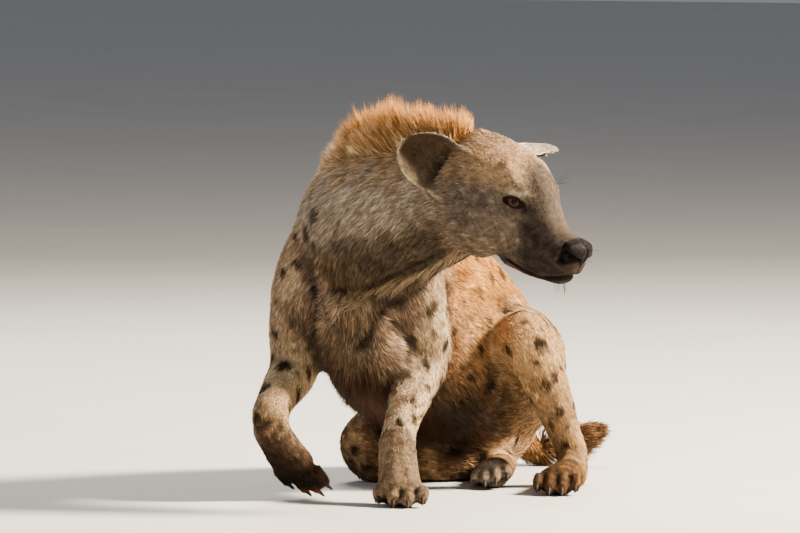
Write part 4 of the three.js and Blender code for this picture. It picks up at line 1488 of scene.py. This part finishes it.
class HYENA_OT_eyes(bpy.types.Operator):
    """Sets the two eyeballs, each with a cornea that stands out and a round pupil."""
    bl_idname = "hyena.eyes"
    bl_label = "Eyes"

    def execute(self, context):
        finish = eye_finish(tuple(context.scene.hyena.iris))
        for side, name in zip(SIDES, ("eye_right", "eye_left")):
            deselect()
            radius = EYE_RADIUS * MM
            bpy.ops.mesh.primitive_uv_sphere_add(segments=64, ring_count=48, radius=radius,
                                                 location=(0, 0, 0))
            eye = bpy.context.object
            eye.name = eye.data.name = name + "_ball"
            co, _ = read_points(eye)
            angle = np.arccos(np.clip(co[:, 2] / radius, -1, 1))
            bulge = 1 + 0.06 * ramp(angle, 0.72, 0.15)
            write_points(eye, co * bulge[:, None])
            mark(eye, angle / 1.25)
            out = Vector(unit(mirrored(EYE_AXIS, side)) @ HEAD_AXES)
            turn = Vector((0, 0, 1)).rotation_difference(out).to_matrix().to_4x4()
            centre = Vector(head_place(mirrored(EYE_PLACE, side)))
            eye.data.transform(Matrix.Translation(centre) @ turn)
            smooth(eye)
            eye.data.materials.append(finish)
            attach(eye, "root")
            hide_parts(name)
        return {"FINISHED"}


# A nostril seen from the side: forward and up, from its round opening to the end of its slit
NOSTRIL = ((255.5, 0, -11), (251, 0, -6), (245, 0, -2), (238, 0, -1))


class HYENA_OT_nose(bpy.types.Operator):
    """Shapes the nose leather with its two comma-shaped nostrils and the groove between them."""
    bl_idname = "hyena.nose"
    bl_label = "Nose"

    def execute(self, context):
        nose = join_copies("nose_pad", ("nose",), 0.4)
        remesh(nose, 0.0009)
        co, _ = read_points(nose)
        co = relax(co, edges_of(nose), np.full(len(co), 0.5), 40)
        h = head_mm(co)
        h[:, 1] *= 1 + 0.24 * ramp(h[:, 0], 262, 247)
        h[:, 2] *= np.where(h[:, 2] < 0, 1.15, 1)
        write_points(nose, head_place(h))
        co, normals = read_points(nose)
        d, along = line_distance(h * (1, 0, 1), NOSTRIL)
        off_middle = ramp(np.abs(h[:, 1]), 5, 9)
        hole = np.exp(-(d / (7.4 - 4.2 * along)) ** 4) * off_middle
        move = -10 * hole * (1 - 0.3 * along)
        wing, _ = line_distance(h * (1, 0, 1), np.array(NOSTRIL) + (2, 0, 10))
        move += 1.8 * np.exp(-(wing / 4) ** 2) * off_middle
        move -= 2.2 * np.exp(-(h[:, 1] / 1.3) ** 2) * ramp(h[:, 0], 250, 256)
        co = co + normals * move[:, None] * MM
        write_points(nose, relax(co, edges_of(nose), np.full(len(co), 0.3), 2))
        smooth(nose)
        # Keeps how far each place lies in a nostril hole, for the painted shade there
        mark(nose, ramp(hole, 0.25, 0.75))
        nose.data.materials.append(nose_finish())
        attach(nose, "root")
        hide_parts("nose")
        return {"FINISHED"}


class HYENA_OT_claws(bpy.types.Operator):
    """Rounds the sixteen claws into smooth blunt horn."""
    bl_idname = "hyena.claws"
    bl_label = "Claws"

    def execute(self, context):
        finish = claw_finish()
        for paw in PAWS:
            nodes = [f"{paw}_claw_{i}" for i in range(1, 5)]
            claws = join_copies(paw + "_horn", nodes, 0.3)
            apply_modifier(claws, "SUBSURF", levels=2, render_levels=2)
            co, normals = read_points(claws)
            co = co + normals * (0.12 * waves(body_mm(co), 2.2, 71))[:, None] * MM
            co[:, 2] = np.maximum(co[:, 2], HAIR_FLOOR)
            write_points(claws, co)
            smooth(claws)
            claws.data.materials.append(finish)
            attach(claws, "root")
            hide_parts(*nodes)
        return {"FINISHED"}


# Whiskers of muzzle, chin and brows, and lashes: place, way, length, number and spread
WHISKERS = (
    ((224, 36, -14), (0.1, 1, -0.15), 46, 9, 12),
    ((238, 0, -58), (0.3, 0.5, -1), 20, 8, 10),
    ((140, 40, 58), (0.5, 0.7, 0.6), 34, 5, 6),
    ((150, 46, 42), (0.6, 0.8, 0.1), 9, 14, 9),
)


class HYENA_OT_whiskers(bpy.types.Operator):
    """Sets thin whiskers on muzzle, chin and brows, and lashes over the eyes."""
    bl_idname = "hyena.whiskers"
    bl_label = "Whiskers"

    def execute(self, context):
        rng = np.random.default_rng(13)
        co, normals = STORE["places"], STORE["facing"]
        tree = tree_of(co)
        found, lie, length = [], [], []
        for place, way, long, count, spread in WHISKERS:
            for side in SIDES:
                for _ in range(count):
                    spot = mirrored(np.array(place) + rng.normal(0, spread / 2, 3), side)
                    found.append(tree.find(head_place(spot))[1])
                    lie.append(unit(mirrored(way, side) + rng.normal(0, 0.2, 3)) @ HEAD_AXES)
                    length.append(long * rng.uniform(0.6, 1.1))
        lie = np.array(lie)
        n = len(found)
        flat = np.stack([(np.arange(n) + 0.5) / n, (np.arange(n) * 0.618) % 1 * 0.98 + 0.01], axis=1)
        side = unit(np.cross(lie, normals[found] + 1e-3))
        dark = np.tile(COLOURS["lips"], (n, 1))
        piece = grow_tufts("whiskers", co[found], unit(np.cross(side, lie)), lie, np.array(length),
                           np.full(n, 0.5), np.full(n, 0.1), 3, dark, dark * 2, flat, droop=0.12, bend=0.0)
        return {"FINISHED"}


# Stage

VIEW_AZIMUTH = math.radians(25)
VIEW_ELEVATION = math.radians(5)
VIEW_DISTANCE = 12.0
VIEW_AIM = (-0.0135, 0.029, 0.3645)
VIEW_LENS = 356.4
SENSOR_WIDTH = 36
SKY_COLOUR = (0.86, 0.9, 1.0, 1)
SKY_STRENGTH = 0.26

# Lights: name, place, size, power and colour
LIGHTS = (
    ("key", (3.9, 1.3, 3.3), 0.9, 2500, (1.0, 0.84, 0.64)),
    ("fill", (-2.6, -4.5, 2.4), 3.0, 60, (0.92, 0.96, 1.0)),
    ("back", (-1.9, 3.2, 3.4), 1.6, 300, (1.0, 0.92, 0.80)),
    ("front", (3.0, -5.0, 2.0), 2.4, 45, (1.0, 0.98, 0.95)),
)


class HYENA_OT_stage(bpy.types.Operator):
    """Sets the floor, the soft lights and the camera."""
    bl_idname = "hyena.stage"
    bl_label = "Stage"

    def execute(self, context):
        deselect()
        bpy.ops.mesh.primitive_plane_add(size=60, location=(0, 0, 0))
        floor = bpy.context.object
        floor.name = "floor"
        floor.data.materials.append(floor_finish())
        for name, place, size, power, colour in LIGHTS:
            bpy.ops.object.light_add(type="AREA", location=place)
            light = bpy.context.object
            light.name = name
            light.data.size = size
            light.data.energy = power
            light.data.color = colour
            light.rotation_mode = "QUATERNION"
            light.rotation_quaternion = (Vector((0, 0, 0.3)) - Vector(place)).to_track_quat("-Z", "Y")
        world = bpy.data.worlds.new("studio")
        world.use_nodes = True
        sky = world.node_tree.nodes["Background"]
        sky.inputs["Color"].default_value = SKY_COLOUR
        sky.inputs["Strength"].default_value = SKY_STRENGTH
        context.scene.world = world
        a, e = VIEW_AZIMUTH, VIEW_ELEVATION
        back = Vector((math.sin(a) * math.cos(e), -math.cos(a) * math.cos(e), math.sin(e)))
        bpy.ops.object.camera_add(location=Vector(ORIGIN) + back * VIEW_DISTANCE)
        camera = bpy.context.object
        camera.rotation_mode = "QUATERNION"
        aim = Vector(ORIGIN) + Vector(VIEW_AIM)
        camera.rotation_quaternion = (aim - camera.location).to_track_quat("-Z", "Y")
        camera.data.sensor_width = SENSOR_WIDTH
        camera.data.lens = VIEW_LENS
        context.scene.camera = camera
        return {"FINISHED"}


def coat_colour(name):
    """A setting for one of the coat's colours."""
    return FloatVectorProperty(name=name.title() + " Colour", description=USER_COLOURS[name],
                               default=tuple(COLOURS[name]), size=3, min=0, max=1, subtype="COLOR")


class HyenaSettings(bpy.types.PropertyGroup):
    """Sizes and colours that a user would change."""
    skin_detail: FloatProperty(name="Skin Detail", description="Size of the finest faces of the skin",
                               default=SKIN_VOXEL, min=0.002, max=0.01, unit="LENGTH")
    fullness: FloatProperty(name="Fullness", description="Share of the full number of tufts", default=1.0,
                            min=0.05, max=1.0, subtype="FACTOR")
    mane_height: FloatProperty(name="Mane Height", description="Scale of the standing hair", default=1.0,
                               min=0.5, max=1.1, subtype="FACTOR")
    flank: coat_colour("flank")
    straw: coat_colour("straw")
    cream: coat_colour("cream")
    golden: coat_colour("golden")
    rust: coat_colour("rust")
    spot: coat_colour("spot")
    iris: FloatVectorProperty(name="Iris Colour", description="Brightest ring of the iris",
                              default=(0.055, 0.018, 0.008), size=3, min=0, max=1, subtype="COLOR")


STEPS = (HYENA_OT_skin, HYENA_OT_eyes, HYENA_OT_nose, HYENA_OT_claws, HYENA_OT_coat, HYENA_OT_throat,
         HYENA_OT_mane, HYENA_OT_tail_tuft, HYENA_OT_whiskers, HYENA_OT_stage)


class HYENA_PT_panel(bpy.types.Panel):
    """Lists the settings and the steps in order."""
    bl_idname = "HYENA_PT_panel"
    bl_label = "Hyena"
    bl_space_type = "VIEW_3D"
    bl_region_type = "UI"
    bl_category = "Hyena"

    def draw(self, context):
        for name in HyenaSettings.__annotations__:
            self.layout.prop(context.scene.hyena, name)
        for step in STEPS:
            self.layout.operator(step.bl_idname)


CLASSES = (HyenaSettings, *STEPS, HYENA_PT_panel)


def register():
    for cls in CLASSES:
        bpy.utils.register_class(cls)
    bpy.types.Scene.hyena = PointerProperty(type=HyenaSettings)


def unregister():
    del bpy.types.Scene.hyena
    for cls in reversed(CLASSES):
        bpy.utils.unregister_class(cls)


def main():
    register()
    bpy.ops.hyena.skin()
    bpy.ops.hyena.eyes()
    bpy.ops.hyena.nose()
    bpy.ops.hyena.claws()
    bpy.ops.hyena.coat()
    bpy.ops.hyena.throat()
    bpy.ops.hyena.mane()
    bpy.ops.hyena.tail_tuft()
    bpy.ops.hyena.whiskers()
    bpy.ops.hyena.stage()


if __name__ == "__main__":
    main()
